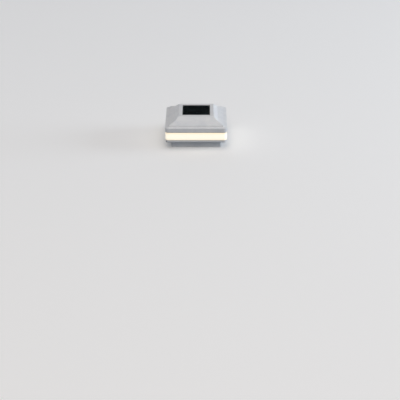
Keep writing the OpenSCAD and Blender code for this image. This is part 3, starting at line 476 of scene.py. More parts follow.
for share in ((wing_l, wing_w, wing_h), (wing_w, wing_l, wing_h)):
    size = add(screw, "ShaderNodeVectorMath", {0: share, 1: head}, operation="MULTIPLY")
    wing = add(screw, "GeometryNodeMeshCube", {"Size": size})
    wing = add(screw, "GeometryNodeTransform", {"Geometry": wing, "Translation": crown})
    screw.links.new(wing.outputs[0], cut.inputs["Mesh 2"])
whole = add(screw, "GeometryNodeMeshBoolean", operation="UNION", solver="MANIFOLD")
for part in (cut, core, rib):
    screw.links.new(part.outputs[0], whole.inputs["Mesh 2"])
random_high, random_seed, random_out = 3, 8, 1  # sockets of a random number
stop = add(screw, "FunctionNodeRandomValue", {random_high: math.tau, random_seed: 7}, data_type="FLOAT")
pose = add(screw, "ShaderNodeMath", {0: given["Tip Up"], 1: math.pi}, operation="MULTIPLY")
pose = add(screw, "ShaderNodeCombineXYZ", {"X": pose, "Z": stop.outputs[random_out]})
placed = {"Points": given["Geometry"], "Instance": whole, "Rotation": pose}
end_tree(screw, given, add(screw, "GeometryNodeInstanceOnPoints", placed))


def screws(name, seats, material, **sizes):
    """Screws whose heads rest on the given seats."""
    mesh = bpy.data.meshes.new(name)
    mesh.from_pydata(seats, [], [])
    return grown(new_piece(name, mesh), screw, **sizes, Finish=material)


small = {"Shank_Diameter": 2.2 * mm, "Shank_Length": 4 * mm, "Thread_Pitch": 0.8 * mm, "Tip_Up": 0.0}
head_h = 1.3 * mm
front_left, front_right, back_right, back_left = (-1, "front"), (1, "front"), (1, "back"), (-1, "back")
small_screws = {
    "switch_screws": (3.4 * mm, front_left, front_right),
    "box_screws": (4 * mm, front_left, back_right),
    "board_screws": (4 * mm, front_left, front_right, back_right, back_left),
}
for node, (head_d, *places) in small_screws.items():
    low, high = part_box(node)
    x, y = high.x - head_d / 2, {"front": low.y + head_d / 2, "back": high.y - head_d / 2}
    seats = [(side * x, y[row], high.z - head_h) for side, row in places]
    made = screws(node + "_set", seats, zinc_steel, **small, Head_Diameter=head_d, Head_Height=head_h)
    finished(made, "zinc_steel", node, sharp=30)

# ---- Battery box ----
# White moulded box over the battery bay, open below, held on the base's pad by two ears and screws. One end
# carries the spring contact and the other the dimpled plate, both stamped from nickel-plated strip.
# ABS, moulded: plain white, a little glossier than the outside parts
abs_white = moulded("moulded_abs_white", "EFEFEA", "E8E8E2", 0.3, 0.6 * mm, 0.004 * mm, 1.53)
_, box_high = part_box("battery_box")
box = cad_copy("battery_box_shell", "battery_box", abs_white, 0.4 * mm, 3, level_at(box_high.z))
finished(box, "carrier_white", "battery_box")

# Nickel plate on spring steel strip: bright and slightly yellow
nickel = plated("nickel_plated_strip", "CFCBC2", "B9B4A9", 0.26, 2 * mm, 0.002 * mm)
spring_low, spring_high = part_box("spring_contact")
plate_low, plate_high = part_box("plate_contact")
cell_low, cell_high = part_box("battery_sleeve")
axis_y = (cell_low.y + cell_high.y) / 2
axis_z = (cell_low.z + cell_high.z) / 2
strip_t = 0.4 * mm
tab_half = 1.5 * mm
bay_top = cell_high.z


def joined(parts):
    """One bmesh of several."""
    whole, *rest = parts
    for part in rest:
        mesh = bpy.data.meshes.new("part")
        part.to_mesh(mesh)
        part.free()
        whole.from_mesh(mesh)
        bpy.data.meshes.remove(mesh)
    return whole


def stamped_strip(x0, x1, low, high):
    """bmesh of a contact strip on the bay's end wall, with the narrow solder tab above it."""
    corner = 0.6 * mm
    half = (plate_high.y - plate_low.y) / 2
    outline = [(half, low.z), (half, bay_top - corner), (half - corner, bay_top), (tab_half, bay_top)]
    outline += [(tab_half, high.z - corner), (tab_half - corner, high.z)]
    outline += [(-y, z) for y, z in reversed(outline)]
    part = bmesh.new()
    face = part.faces.new([part.verts.new((x0, axis_y + y, z)) for y, z in outline])
    raised = bmesh.ops.extrude_face_region(part, geom=[face])["geom"]
    raised = [v for v in raised if isinstance(v, bmesh.types.BMVert)]
    bmesh.ops.translate(part, verts=raised, vec=(x1 - x0, 0, 0))
    bmesh.ops.recalc_face_normals(part, faces=part.faces)
    return soften(part, 0.08 * mm, 2)


def softened(outline, closed, steps=3):
    """Outline whose last number at each point says how far before and after it the bend is rounded."""
    made = []
    count = len(outline)
    for i, (*spot, soft) in enumerate(outline):
        here = Vector(spot)
        if not soft or (not closed and i in (0, count - 1)):
            made.append(here)
            continue
        before = Vector(outline[i - 1][:-1]) - here
        after = Vector(outline[(i + 1) % count][:-1]) - here
        start = here + before.normalized() * min(soft, before.length / 2)
        end = here + after.normalized() * min(soft, after.length / 2)
        for step in range(steps + 1):
            t = step / steps
            made.append((1 - t) ** 2 * start + 2 * t * (1 - t) * here + t**2 * end)
    return made


def skinned(rings, closed):
    """bmesh of a skin over rings of points. A ring of one point ends it, and any other open end is capped."""
    part = bmesh.new()
    rings = [[part.verts.new(spot) for spot in ring] for ring in rings]
    for one, other in zip(rings, rings[1:] + rings[:1] if closed else rings[1:], strict=False):
        for k in range(max(len(one), len(other))):
            face = [ring[i % len(ring)] for ring, i in ((one, k), (one, k + 1), (other, k + 1), (other, k))]
            part.faces.new(list(dict.fromkeys(face)))
    for ring in () if closed else (rings[0], rings[-1]):
        if len(ring) > 1:
            part.faces.new(ring)
    bmesh.ops.remove_doubles(part, verts=part.verts, dist=0.001 * mm)
    bmesh.ops.recalc_face_normals(part, faces=part.faces)
    return part


def turned(profile, centre, along=(0, 0, 1), sides=48, closed=False):
    """bmesh of a turned shape. profile has each bend's radius, its place along the axis and its softness."""
    place = Matrix.Translation(centre) @ pointing(along)
    rings = []
    for radius, rise in softened(profile, closed):
        angles = [math.tau * k / sides for k in range(sides if radius > 0 else 1)]
        rings.append([place @ Vector((radius * math.cos(a), radius * math.sin(a), rise)) for a in angles])
    return skinned(rings, closed)


face_x = plate_high.x - strip_t
dome_h, dome_base, dome_tip = 1.8 * mm, 4 * mm, 2.4 * mm
dome = [(0, dome_h, 0), (dome_tip, dome_h, 0.5 * mm), (dome_base, 0, 0.3 * mm)]
dome += [(dome_base, -strip_t / 2, 0), (0, -strip_t / 2, 0)]
plate = stamped_strip(face_x, plate_high.x, plate_low, plate_high)
plate = joined([plate, turned(dome, (face_x, axis_y, axis_z), (-1, 0, 0))])
finished(from_bmesh("plate_contact_strip", plate, nickel), "nickel_contact", "plate_contact")

# Round wire wound about the z axis from the origin, for the spring and for the choke
sizes = ("Turns", "Start_Radius", "End_Radius", "Height", "Wire_Radius")
wound, given = new_tree("wound_wire", **dict.fromkeys(sizes, "Float"))
path = {"Resolution": 36, "Rotations": given["Turns"], "Height": given["Height"]}
path |= {name: given[name] for name in ("Start Radius", "End Radius")}
path = add(wound, "GeometryNodeCurveSpiral", path)
section = add(wound, "GeometryNodeCurvePrimitiveCircle", {"Resolution": 12, "Radius": given["Wire Radius"]})
wire = {"Curve": path, "Profile Curve": section, "Fill Caps": True}
end_tree(wound, given, add(wound, "GeometryNodeCurveToMesh", wire))


def coil(name, place, along, material, **sizes):
    """Piece of wire wound about a line through place."""
    obj = grown(new_piece(name, bpy.data.meshes.new(name)), wound, **sizes, Finish=material)
    obj.data.transform(Matrix.Translation(place) @ pointing(along))
    return obj


wire_r = 0.4 * mm
spring_x = spring_low.x + strip_t
cone = {"Turns": 4.0, "Start_Radius": 4.6 * mm, "End_Radius": 2.6 * mm}
cone |= {"Height": cell_low.x - spring_x - 2 * wire_r, "Wire_Radius": wire_r}
spring = coil("spring_coil", (spring_x + wire_r, axis_y, axis_z), (1, 0, 0), nickel, **cone)
finished(spring, "nickel_contact", sharp=60)
strip = stamped_strip(spring_low.x, spring_x, spring_low, spring_high)
finished(from_bmesh("spring_contact_strip", strip, nickel), "nickel_contact", "spring_contact")

# ---- Battery ----
# One rechargeable cell of the common finger size: a drawn nickel-plated can with a raised cap, in a plain
# shrink-wrapped green sleeve that curls over the can's shoulders.
can_low, can_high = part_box("battery_cell")
can_r = (can_high.z - can_low.z) / 2
cap_r, cap_h = 2.75 * mm, 1.2 * mm
can_l = can_high.x - can_low.x - cap_h
can = [(0, 0, 0), (can_r, 0, 0.7 * mm), (can_r, can_l, 0.7 * mm), (cap_r + 0.5 * mm, can_l, 0.2 * mm)]
can += [(cap_r, can_l - 0.2 * mm, 0.1 * mm), (cap_r, can_l + cap_h, 0.5 * mm), (0, can_l + cap_h, 0)]
cell = turned(can, (can_low.x, axis_y, axis_z), (1, 0, 0), 64)
finished(from_bmesh("battery_can", cell, nickel), "nickel_contact", "battery_cell", sharp=50)

# PVC sleeve, heat shrunk: smooth and glossy with slow ripples along the can
sleeve_pvc = moulded("shrunk_pvc_sleeve", "2F8A5B", "2A7F53", 0.28, 6 * mm, 0.02 * mm, 1.53)
sleeve_r = (cell_high.z - cell_low.z) / 2
sleeve_l = cell_high.x - cell_low.x
lap_r = can_r - 1.3 * mm
wrap = [(can_r, 0.8 * mm, 0.2 * mm), (lap_r, 0.1 * mm, 0), (lap_r, 0, 0), (sleeve_r, 0, 0.9 * mm)]
wrap += [(r, sleeve_l - rise, soft) for r, rise, soft in reversed(wrap)]
cell = turned(wrap, (cell_low.x, axis_y, axis_z), (1, 0, 0), 64, closed=True)
finished(from_bmesh("battery_wrap_sleeve", cell, sleeve_pvc), "battery_wrap", "battery_sleeve", sharp=50)

# ---- LED carrier ----
# White ABS tub that stands on the base inside the lens: four walls for the LED boards, and a deck over the
# battery box with standoffs for the control board. Its corner lugs are clamped by the long screws.
deck_top = 35.6 * mm
tub = cad_copy("led_carrier_tub", "led_carrier", abs_white, 0.3 * mm, 2, level_at(deck_top))
finished(tub, "carrier_white", "led_carrier")

# ---- LED boards ----
# Four narrow aluminium boards with white solder mask, glued to the carrier's sides, each with three LEDs in
# white packages whose windows hold yellow phosphor.
board_low, board_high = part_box("led_boards")
led_low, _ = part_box("leds")
strip_half, strip_t = 38 * mm, 1.2 * mm
led_z = (board_low.z + board_high.z) / 2
led_pitch = 2 * strip_half / 3
led_l, led_w = 3.5 * mm, 2.8 * mm
quarter = math.pi / 2


def wave_scale(pitch):
    """Scale that puts a wave texture's bands a pitch apart: at 1 they are a twentieth of a turn apart."""
    return math.tau / (20 * pitch)


# Solder mask over printed copper: clean white, the tracks underneath it showing as faint raised bands
material, tree, place = new_material("white_solder_mask")
track_pitch = 2.5 * mm
bands = {"Vector": place, "Scale": wave_scale(track_pitch)}
bands = add(tree, "ShaderNodeTexWave", bands, bands_direction="Z")
track = add(tree, "ShaderNodeMapRange", {"Value": bands, "From Min": 0.45, "From Max": 0.55})
coated(tree, track, "EDEEE9", "E0E1DA", track, 0.03 * mm, {"Roughness": 0.35})
far_corner = (strip_half, board_low.y + strip_t, board_high.z)
board = soft_block((-strip_half, board_low.y, board_low.z), far_corner, 0.1 * mm)
board = repeat(from_bmesh("led_board_set", board, material), material, rows=4, turn=quarter)
finished(board, "led_board", "led_boards")

# LED package, moulded: matt white with a round window in its face
led_white = moulded("moulded_led_package", "F4F2EA", "ECEAE0", 0.4, 0.3 * mm, 0.003 * mm)
face = Vector((-strip_half + led_pitch / 2, led_low.y, led_z))
back = face + Vector((0, board_low.y - led_low.y, 0))
window_r, window_depth = 1.1 * mm, 0.15 * mm
reach = Vector((led_l / 2, 0, led_w / 2))
package = from_bmesh("led_package_set", soft_block(face - reach, back + reach, 0.1 * mm), led_white)
boolean(package, drum(face, window_r, -window_depth, mm, (0, -1, 0)), "DIFFERENCE")
twelve = (3, (led_pitch, 0.0, 0.0), 4, quarter)
finished(repeat(package, led_white, *twelve), "led_phosphor", "leds")

# Silicone with phosphor powder, cast: yellow, and glowing warm white
material, tree, place = new_material("cast_phosphor_silicone")
grains = add(tree, "ShaderNodeTexVoronoi", {"Vector": place, "Scale": 1 / (0.12 * mm)})
tint = {"Factor": grains, colour_a: linear("F3D36A"), colour_b: linear("E2B548")}
tint = add(tree, "ShaderNodeMix", tint, data_type="RGBA").outputs[colour_out]
glow = {"Emission Color": linear("FFDDA0"), "Emission Strength": 3.0}
surface = add(tree, "ShaderNodeBsdfPrincipled", {"Base Color": tint, "Roughness": 0.3, "IOR": 1.41, **glow})
add(tree, "ShaderNodeOutputMaterial", {"Surface": surface})
fill_top, fill_foot = -0.4 * window_depth, -2 * window_depth
fill = [(0, fill_top, 0), (window_r, fill_top, 0), (window_r, fill_foot, 0), (0, fill_foot, 0)]
window = from_bmesh("led_window_set", turned(fill, face, (0, -1, 0), 32), material)
finished(repeat(window, material, *twelve), "led_phosphor")

# ---- Control board ----
# Glass-fibre board with green solder mask, screwed to the deck's standoffs. It carries the charging chip, a
# wound choke, two capacitors and five nylon sockets for the leads.
board_low, board_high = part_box("control_board")
board_top = board_high.z

# Solder mask over etched copper: deep green, lighter where copper lies under it, in short straight tracks
material, tree, place = new_material("green_solder_mask")
patch_size = 4 * mm
track_pitch = 1.2 * mm
patches = {"Vector": place, "Scale": 1 / patch_size, "Randomness": 0.6}
patches = add(tree, "ShaderNodeTexVoronoi", patches, distance="CHEBYCHEV")
choice = add(tree, "ShaderNodeSeparateXYZ", {0: patches.outputs["Color"]})
across = add(tree, "ShaderNodeMath", {0: choice, 1: 0.5}, operation="GREATER_THAN")
wave = {"Vector": place, "Scale": wave_scale(track_pitch)}
waves = [add(tree, "ShaderNodeTexWave", wave, bands_direction=way).outputs["Fac"] for way in "XY"]
lines = add(tree, "ShaderNodeMix", {"Factor": across, "A": waves[0], "B": waves[1]}, data_type="FLOAT")
track = add(tree, "ShaderNodeMapRange", {"Value": lines, "From Min": 0.52, "From Max": 0.6})
coated(tree, track, "10402B", "1F6644", track, 0.04 * mm, {"Roughness": 0.3})
board = from_bmesh("control_board_panel", merged_copy("control_board"), material)
finished(board, "circuit_board", "control_board")

# Epoxy moulding compound: matt black body with a dimple by its first pin, on bent tinned pins
epoxy_black = moulded("moulded_epoxy_black", "1A1B1D", "222326", 0.55, 0.25 * mm, 0.008 * mm, 1.55)
chip_low, chip_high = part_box("charge_chip")
chip_x, chip_y = (chip_low.x + chip_high.x) / 2, (chip_low.y + chip_high.y) / 2
chip_half_l, chip_half_w = 2.5 * mm, 2 * mm
chip_lift = 0.2 * mm
chip_foot = Vector((chip_x - chip_half_l, chip_y - chip_half_w, board_top + chip_lift))
chip_crown = Vector((chip_x + chip_half_l, chip_y + chip_half_w, chip_high.z))
chip = from_bmesh("chip_body", soft_block(chip_foot, chip_crown, 0.18 * mm), epoxy_black)
dimple = (chip_foot.x + 0.9 * mm, chip_foot.y + 0.9 * mm, chip_high.z)
boolean(chip, drum(dimple, 0.35 * mm, -0.12 * mm, mm), "DIFFERENCE")
finished(chip, "chip_black", "charge_chip")
pin_w, pin_t, pin_l, pin_h, pin_pitch = 0.4 * mm, 0.18 * mm, 1 * mm, 0.6 * mm, 1.27 * mm
x0, y1 = -1.5 * pin_pitch - pin_w / 2, -chip_half_w
foot = soft_block((x0, y1 - pin_l, 0), (x0 + pin_w, y1 - pin_l / 2, pin_t), 0.05 * mm)
leg = soft_block((x0, y1 - pin_l / 2 - pin_t, 0), (x0 + pin_w, y1 - pin_l / 2, pin_h), 0.05 * mm)
shoulder = soft_block((x0, y1 - pin_l / 2 - pin_t, pin_h - pin_t), (x0 + pin_w, y1 + pin_t, pin_h), 0.05 * mm)
pins = from_bmesh("chip_pin_set", joined([foot, leg, shoulder]), zinc_steel)
repeat(pins, zinc_steel, 4, (pin_pitch, 0.0, 0.0), 2, math.pi)
pins.data.transform(Matrix.Translation((chip_x, chip_y, board_top)))
finished(pins, "zinc_steel")

# Ferrite, pressed and fired: matt charcoal bobbin. Enamelled copper: glossy red-brown wire wound on it
ferrite = moulded("fired_ferrite", "34353A", "2B2C30", 0.6, 0.3 * mm, 0.01 * mm, 1.6)
copper = plated("enamelled_copper_wire", "B5642F", "9C4F22", 0.28, 1 * mm, 0.002 * mm)
choke_low, choke_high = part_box("choke")
choke_place = ((choke_low.x + choke_high.x) / 2, (choke_low.y + choke_high.y) / 2, board_top)
choke_r = (choke_high.x - choke_low.x) / 2
choke_h = choke_high.z - board_top
flange_t, neck_r, winding_r = 1 * mm, 2.3 * mm, 3 * mm
bobbin = [(0, 0, 0), (choke_r, 0, 0.15 * mm), (choke_r, flange_t, 0.15 * mm), (neck_r, flange_t, 0.1 * mm)]
bobbin += [(r, choke_h - rise, soft) for r, rise, soft in reversed(bobbin)]
bobbin = from_bmesh("choke_bobbin", turned(bobbin, choke_place), ferrite)
finished(bobbin, "choke_winding", "choke")
wire_r = 0.2 * mm
winding_h = choke_h - 2 * flange_t
turn_pitch, layer_step = 2.1 * wire_r, 1.8 * wire_r
sizes = {"Turns": winding_h / turn_pitch - 1, "Height": winding_h - 2 * wire_r, "Wire_Radius": wire_r}
foot = (*choke_place[:2], board_top + flange_t + wire_r)
for layer, radius in enumerate((winding_r - wire_r, winding_r - wire_r - layer_step)):
    sizes |= {"Start_Radius": radius, "End_Radius": radius}
    winding = coil(f"choke_winding_{layer}", foot, (0, 0, 1), copper, **sizes)
    finished(winding, "choke_winding", sharp=60)

# PVC sleeve on drawn aluminium: dark blue with a pale stripe that marks the negative side
can_low, can_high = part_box("capacitors")
cap_r = (can_high.x - can_low.x) / 2
can_x, can_y = can_low.x + cap_r, can_low.y + cap_r
material, tree, place = new_material("blue_pvc_sleeve")
ripple = add(tree, "ShaderNodeTexNoise", {"Vector": place, "Scale": 1 / (2 * mm), "Detail": 2.0})
sideways = add(tree, "ShaderNodeSeparateXYZ", {0: place})
stripe = add(tree, "ShaderNodeMath", {0: sideways, 1: can_x - 0.8 * cap_r}, operation="LESS_THAN")
coated(tree, stripe, "1C2C55", "B9C3D6", ripple, 0.02 * mm, {"Roughness": 0.35, "IOR": 1.53})
can_h = can_high.z - board_top
lid_r = cap_r - 0.7 * mm
can = [(0, 0, 0), (cap_r, 0, 0.25 * mm), (cap_r, 1.1 * mm, 0.2 * mm), (cap_r - 0.3 * mm, 1.4 * mm, 0.2 * mm)]
can += [(cap_r, 1.7 * mm, 0.2 * mm), (cap_r, can_h, 0.4 * mm), (lid_r, can_h, 0.1 * mm)]
can += [(lid_r, can_h - 0.2 * mm, 0), (0, can_h - 0.2 * mm, 0)]
can_gap = (0.0, can_high.y - can_low.y - 2 * cap_r, 0.0)
can = from_bmesh("capacitor_sleeve_set", turned(can, (can_x, can_y, board_top)), material)
finished(repeat(can, material, 2, can_gap), "capacitor_sleeve", "capacitors")
aluminium = plated("drawn_aluminium", "C9CBCE", "B7BABE", 0.35, 1.5 * mm, 0.002 * mm)
lid_top, lid_foot = can_h - 0.08 * mm, can_h - 0.5 * mm
lid = [(0, lid_top, 0), (lid_r, lid_top, 0), (lid_r, lid_foot, 0), (0, lid_foot, 0)]
lid = from_bmesh("capacitor_lid_set", turned(lid, (can_x, can_y, board_top)), aluminium)
score = Vector((1.2 * mm, 0.1 * mm, 0.06 * mm))
middle = Vector((can_x, can_y, board_top + lid_top))
for across in (score, score.yxz):
    boolean(lid, from_bmesh("tool", soft_block(middle - across, middle + across)), "DIFFERENCE")
finished(repeat(lid, aluminium, 2, can_gap), "capacitor_sleeve")

# Nylon, moulded: slightly translucent ivory. Each socket has a latch rib on top and a slot down either side
nylon = moulded("moulded_nylon_ivory", "E9E3CF", "DFD8C2", 0.38, 0.4 * mm, 0.005 * mm, 1.53)
socket_low, socket_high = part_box("board_sockets")
socket_half = 2.5 * mm
socket_h = socket_high.z - board_top
bay_socket_x = socket_high.x - socket_half
front_socket_y = socket_low.y + socket_half
led_socket_x, switch_socket_x = 13 * mm, 1.75 * mm
sockets = []
spots = [(bay_socket_x, axis_y, quarter), (-bay_socket_x, axis_y, -quarter), (0, axis_y, 0)]
spots += [(led_socket_x, front_socket_y, 0), (switch_socket_x, front_socket_y, 0)]
corner, latch_w, latch_l = (-socket_half, -socket_half, 0), 2.4 * mm, 3.3 * mm
for x, y, facing in spots:
    body = soft_block(corner, (socket_half, socket_half, socket_h - 0.4 * mm), 0.15 * mm)
    latch_foot = (-latch_w / 2, -socket_half, socket_h - 0.8 * mm)
    latch = soft_block(latch_foot, (latch_w / 2, latch_l - socket_half, socket_h), 0.12 * mm)
    sleeve = soft_block(corner, (socket_half, -1.4 * mm, socket_h - 0.15 * mm), 0.15 * mm)
    socket = joined([body, latch, sleeve])
    place = Matrix.Translation((x, y, board_top)) @ Matrix.Rotation(facing, 4, "Z")
    bmesh.ops.transform(socket, matrix=place, verts=socket.verts)
    sockets.append(socket)
finished(from_bmesh("board_socket_set", joined(sockets), nylon), "socket_nylon", "board_sockets")

# ---- Leads ----
# Stranded copper leads with PVC insulation: pairs from the panel, battery, switch and LED boards to the
# sockets, and red jumpers from one LED board to the next. Each is soldered at one end and bends softly.
# The tree puts a round lead along every chain of edges.
lead, given = new_tree("insulated_lead", Lead_Diameter="Float")
path = add(lead, "GeometryNodeMeshToCurve", {"Mesh": given["Geometry"]})
radius = add(lead, "ShaderNodeMath", {0: given["Lead Diameter"], 1: 0.5}, operation="MULTIPLY")
section = add(lead, "GeometryNodeCurvePrimitiveCircle", {"Resolution": 16, "Radius": radius})
wire = {"Curve": path, "Profile Curve": section, "Fill Caps": True}
end_tree(lead, given, add(lead, "GeometryNodeCurveToMesh", wire))
lead_d = 1 * mm


def leads(name, node, routes, material, slot):
    """Leads along routes given in millimetres, their corners cut again and again into curves."""
    points, edges = [], []
    for route in routes:
        curve = [Vector(p) * mm for p in route]
        for _ in range(3):
            ends = zip(curve, curve[1:], strict=False)
            curve = [curve[0], *(a.lerp(b, t) for a, b in ends for t in (0.25, 0.75)), curve[-1]]
        edges += [(len(points) + i, len(points) + i + 1) for i in range(len(curve) - 1)]
        points += curve
    mesh = bpy.data.meshes.new(name)
    mesh.from_pydata(points, edges, [])
    obj = grown(new_piece(name, mesh), lead, Lead_Diameter=lead_d, Finish=material)
    finished(obj, slot, node, sharp=50)


# PVC insulation, extruded: slightly glossy, with faint unevenness along its length
red_pvc = moulded("extruded_pvc_red", "B3261E", "A5221B", 0.4, 1.2 * mm, 0.01 * mm, 1.53)
black_pvc = moulded("extruded_pvc_black", "1B1C1E", "232427", 0.42, 1.2 * mm, 0.01 * mm, 1.53)

# Levels and places in millimetres: sockets, deck, battery box, switch, LED boards and panel
socket_top, socket_mid = 43.8, 42.0
deck_foot, deck_face = 34.0, 35.6
tab_z, bay_end, bay_lead_x, bay_socket_face = 32.3, 30.0, 34.0, 29.0
terminal_top, terminal_y, switch_lead_y, front_socket_face = 25.4, -22.0, -24.0, -17.0
strip_top, strip_mid, jumper_z, strip_end, led_lead_y = 30.65, -46.6, 28.15, 38.0, -44.0
pair = 1.2
panel_z, grommet_y = 54.2, 10.0
run = [(grommet_y, panel_z), (grommet_y, panel_z - 3), (grommet_y + 1.5, (panel_z + socket_top) / 2)]
run += [(grommet_y, socket_top + 2), (grommet_y, socket_top)]
leads("panel_lead_pair", "panel_leads", [[(x, *p) for p in run] for x in (-pair, pair)], red_pvc, "lead_red")
run = [(bay_end, grommet_y, tab_z), *((bay_lead_x, grommet_y, z) for z in (tab_z, deck_foot, socket_mid))]
run = [[(side * x, y, z) for x, y, z in (*run, (bay_socket_face, grommet_y, socket_mid))] for side in (-1, 1)]
leads("battery_lead_pair", "battery_leads", run, red_pvc, "lead_red")
run = [(terminal_y, terminal_top), (terminal_y, terminal_top + 2), (switch_lead_y, deck_foot)]
run += [(switch_lead_y, socket_mid), (front_socket_face, socket_mid)]
leads("switch_lead_pair", "switch_leads", [[(x, *p) for p in run] for x in (0, 3.5)], black_pvc, "lead_black")
run = [(strip_mid, strip_top), (strip_mid, deck_foot), (strip_mid, deck_face + 2)]
run += [(led_lead_y, socket_mid), (front_socket_face, socket_mid)]
run = [[(x, *p) for p in run] for x in (13 - pair, 13 + pair)]
leads("led_lead_pair", "led_leads", run, black_pvc, "lead_black")
bend = strip_mid - 0.3
jumper = [(strip_end, strip_mid), (strip_end + 2, strip_mid), (-bend, bend)]
jumper += [(-strip_mid, -strip_end - 2), (-strip_mid, -strip_end)]
jumpers = []
for _ in range(3):
    jumpers.append([(x, y, jumper_z) for x, y in jumper])
    jumper = [(-y, x) for x, y in jumper]
leads("led_jumper_set", "led_jumpers", jumpers, red_pvc, "lead_red")


# ---- Lens band and its seals ----
# Frosted warm-white polycarbonate, one closed band round all four sides, its tongues held in grooves in the
# base and the cover on soft rubber cords. Its glow is painted: the band itself emits an even light in place
# of the LEDs' light, deeper in colour at its edges.
def rounded_square(half, corner, z, steps=10):
    """Points of a level square with round corners, anticlockwise seen from above."""
    points = []
    for quarter_turn, (side_x, side_y) in enumerate(((1, 1), (-1, 1), (-1, -1), (1, -1))):
        for step in range(steps + 1):
            angle = math.pi / 2 * (quarter_turn + step / steps)
            x = side_x * (half - corner) + corner * math.cos(angle)
            y = side_y * (half - corner) + corner * math.sin(angle)
            points.append((x, y, z))
    return points


def square_loft(name, outline, closed, *materials):
    """Skin over level rounded squares along an outline of half-width, corner radius, level and softness."""
    rings = [rounded_square(*bend) for bend in softened(outline, closed)]
    return from_bmesh(name, skinned(rings, closed), *materials)


lens_low, lens_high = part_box("lens_ring")
body_half = lens_high.x
corner_r = 6.5 * mm
tongue_h = 2.0 * mm
tongue_t = 1.2 * mm
lens_t = 3.1 * mm
reveal = 0.5 * mm
band_foot = lens_low.z + tongue_h
fascia_z = lens_high.z - tongue_h
band_top = fascia_z - reveal
lens_in = body_half - lens_t
tongue_out = lens_in + tongue_t


def nested(half):
    """Corner radius of a square inside the body's outline, round the same centre."""
    return corner_r - (body_half - half)


# Polycarbonate with a frosted face. Its glow is painted light: the band's own emission stands in for the
# light of the LEDs behind it, even, and warmest at its top and bottom edges. The frosting takes the gloss
# off.
material, tree, place = new_material("frosted_polycarbonate")
level = add(tree, "ShaderNodeSeparateXYZ", {0: place}).outputs["Z"]
# Painted glow: the emission colour is warmer towards the band's top and bottom edges
across = {"Value": level, "From Min": band_foot, "From Max": band_top, "To Min": -1.0, "To Max": 1.0}
across = add(tree, "ShaderNodeMapRange", across)
across = add(tree, "ShaderNodeMath", {0: across}, operation="ABSOLUTE")
edge = add(tree, "ShaderNodeMath", {0: across, 1: 4.0}, operation="POWER")
glow = {"Factor": edge, colour_a: linear("FFF6E2"), colour_b: linear("FFE3B2")}
glow = add(tree, "ShaderNodeMix", glow, data_type="RGBA").outputs[colour_out]
frost = add(tree, "ShaderNodeTexNoise", {"Vector": place, "Scale": 1 / (0.35 * mm), "Detail": 3.0})
surface = {"Base Color": linear("F4EEDD"), "Roughness": 0.5, "IOR": 1.58}
surface |= {"Normal": add(tree, "ShaderNodeBump", {"Height": frost, "Distance": 0.01 * mm})}
# Painted glow: the band emits light itself, in place of the LEDs' light passing through it
surface |= {"Emission Color": glow, "Emission Strength": 0.66}
add(tree, "ShaderNodeOutputMaterial", {"Surface": add(tree, "ShaderNodeBsdfPrincipled", surface)})

lens_outline = [
    (body_half, corner_r, band_foot, 0.35 * mm),
    (body_half, corner_r, band_top, 0.5 * mm),
    (tongue_out, nested(tongue_out), band_top, 0.15 * mm),
    (tongue_out, nested(tongue_out), lens_high.z, 0.3 * mm),
    (lens_in, nested(lens_in), lens_high.z, 0.3 * mm),
    (lens_in, nested(lens_in), lens_low.z, 0.3 * mm),
    (tongue_out, nested(tongue_out), lens_low.z, 0.3 * mm),
    (tongue_out, nested(tongue_out), band_foot, 0.15 * mm),
]
finished(square_loft("lens_band", lens_outline, True, material), "frosted_lens", "lens_ring")

groove_out = tongue_out + 0.2 * mm
groove_in = lens_in - 0.2 * mm
for node in ("lower_gasket", "upper_gasket"):
    low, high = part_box(node)
    outline = [(half, nested(half), z, 0.2 * mm) for half, z in ((groove_out, low.z), (groove_out, high.z))]
    outline += [(half, nested(half), z, 0.2 * mm) for half, z in ((groove_in, high.z), (groove_in, low.z))]
    finished(square_loft(node + "_cord", outline, True, silicone_grey), "seal_rubber", node)


# ---- Top cover ----
# White ASA moulding: fascia, ledge, riser and the two roof slopes round the panel's seat, with a seal groove
# in its rim and four bosses inside for the long screws. Its edges are softened as the tool leaves them.
def inset(points, depth):
    """Outline of (half, z) points moved inwards by depth, its bends mitred."""
    sides = [(Vector(b) - Vector(a)).normalized() for a, b in zip(points, points[1:], strict=False)]
    normals = [Vector((-1, 0)), *(Vector((-s.y, s.x)) for s in sides), Vector((0, -1))]
    return [
        Vector(point) + depth * (one + other) / (1 + one.dot(other))
        for point, one, other in zip(points, normals, normals[1:], strict=False)
    ]


cover_low, cover_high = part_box("top_cover")
panel_low, panel_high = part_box("panel_board")
top_z = cover_high.z
ledge_z = fascia_z + 8.9 * mm
riser_half, riser_z = body_half - 6.3 * mm, ledge_z + 1.5 * mm
tier_z = riser_z + 2.0 * mm
foot_half, foot_z = riser_half - 10.8 * mm, tier_z + 4.6 * mm
top_half = foot_half - 7.8 * mm
cover_wall = 2.4 * mm
seat_half = panel_high.x + 0.15 * mm
panel_seat_z = panel_low.z - 0.5 * mm
tub_half = seat_half + cover_wall
tub_z = panel_seat_z - cover_wall
rim_in = body_half - 4.0 * mm
groove_top = fascia_z + 2.6 * mm
rim_top = groove_top + cover_wall
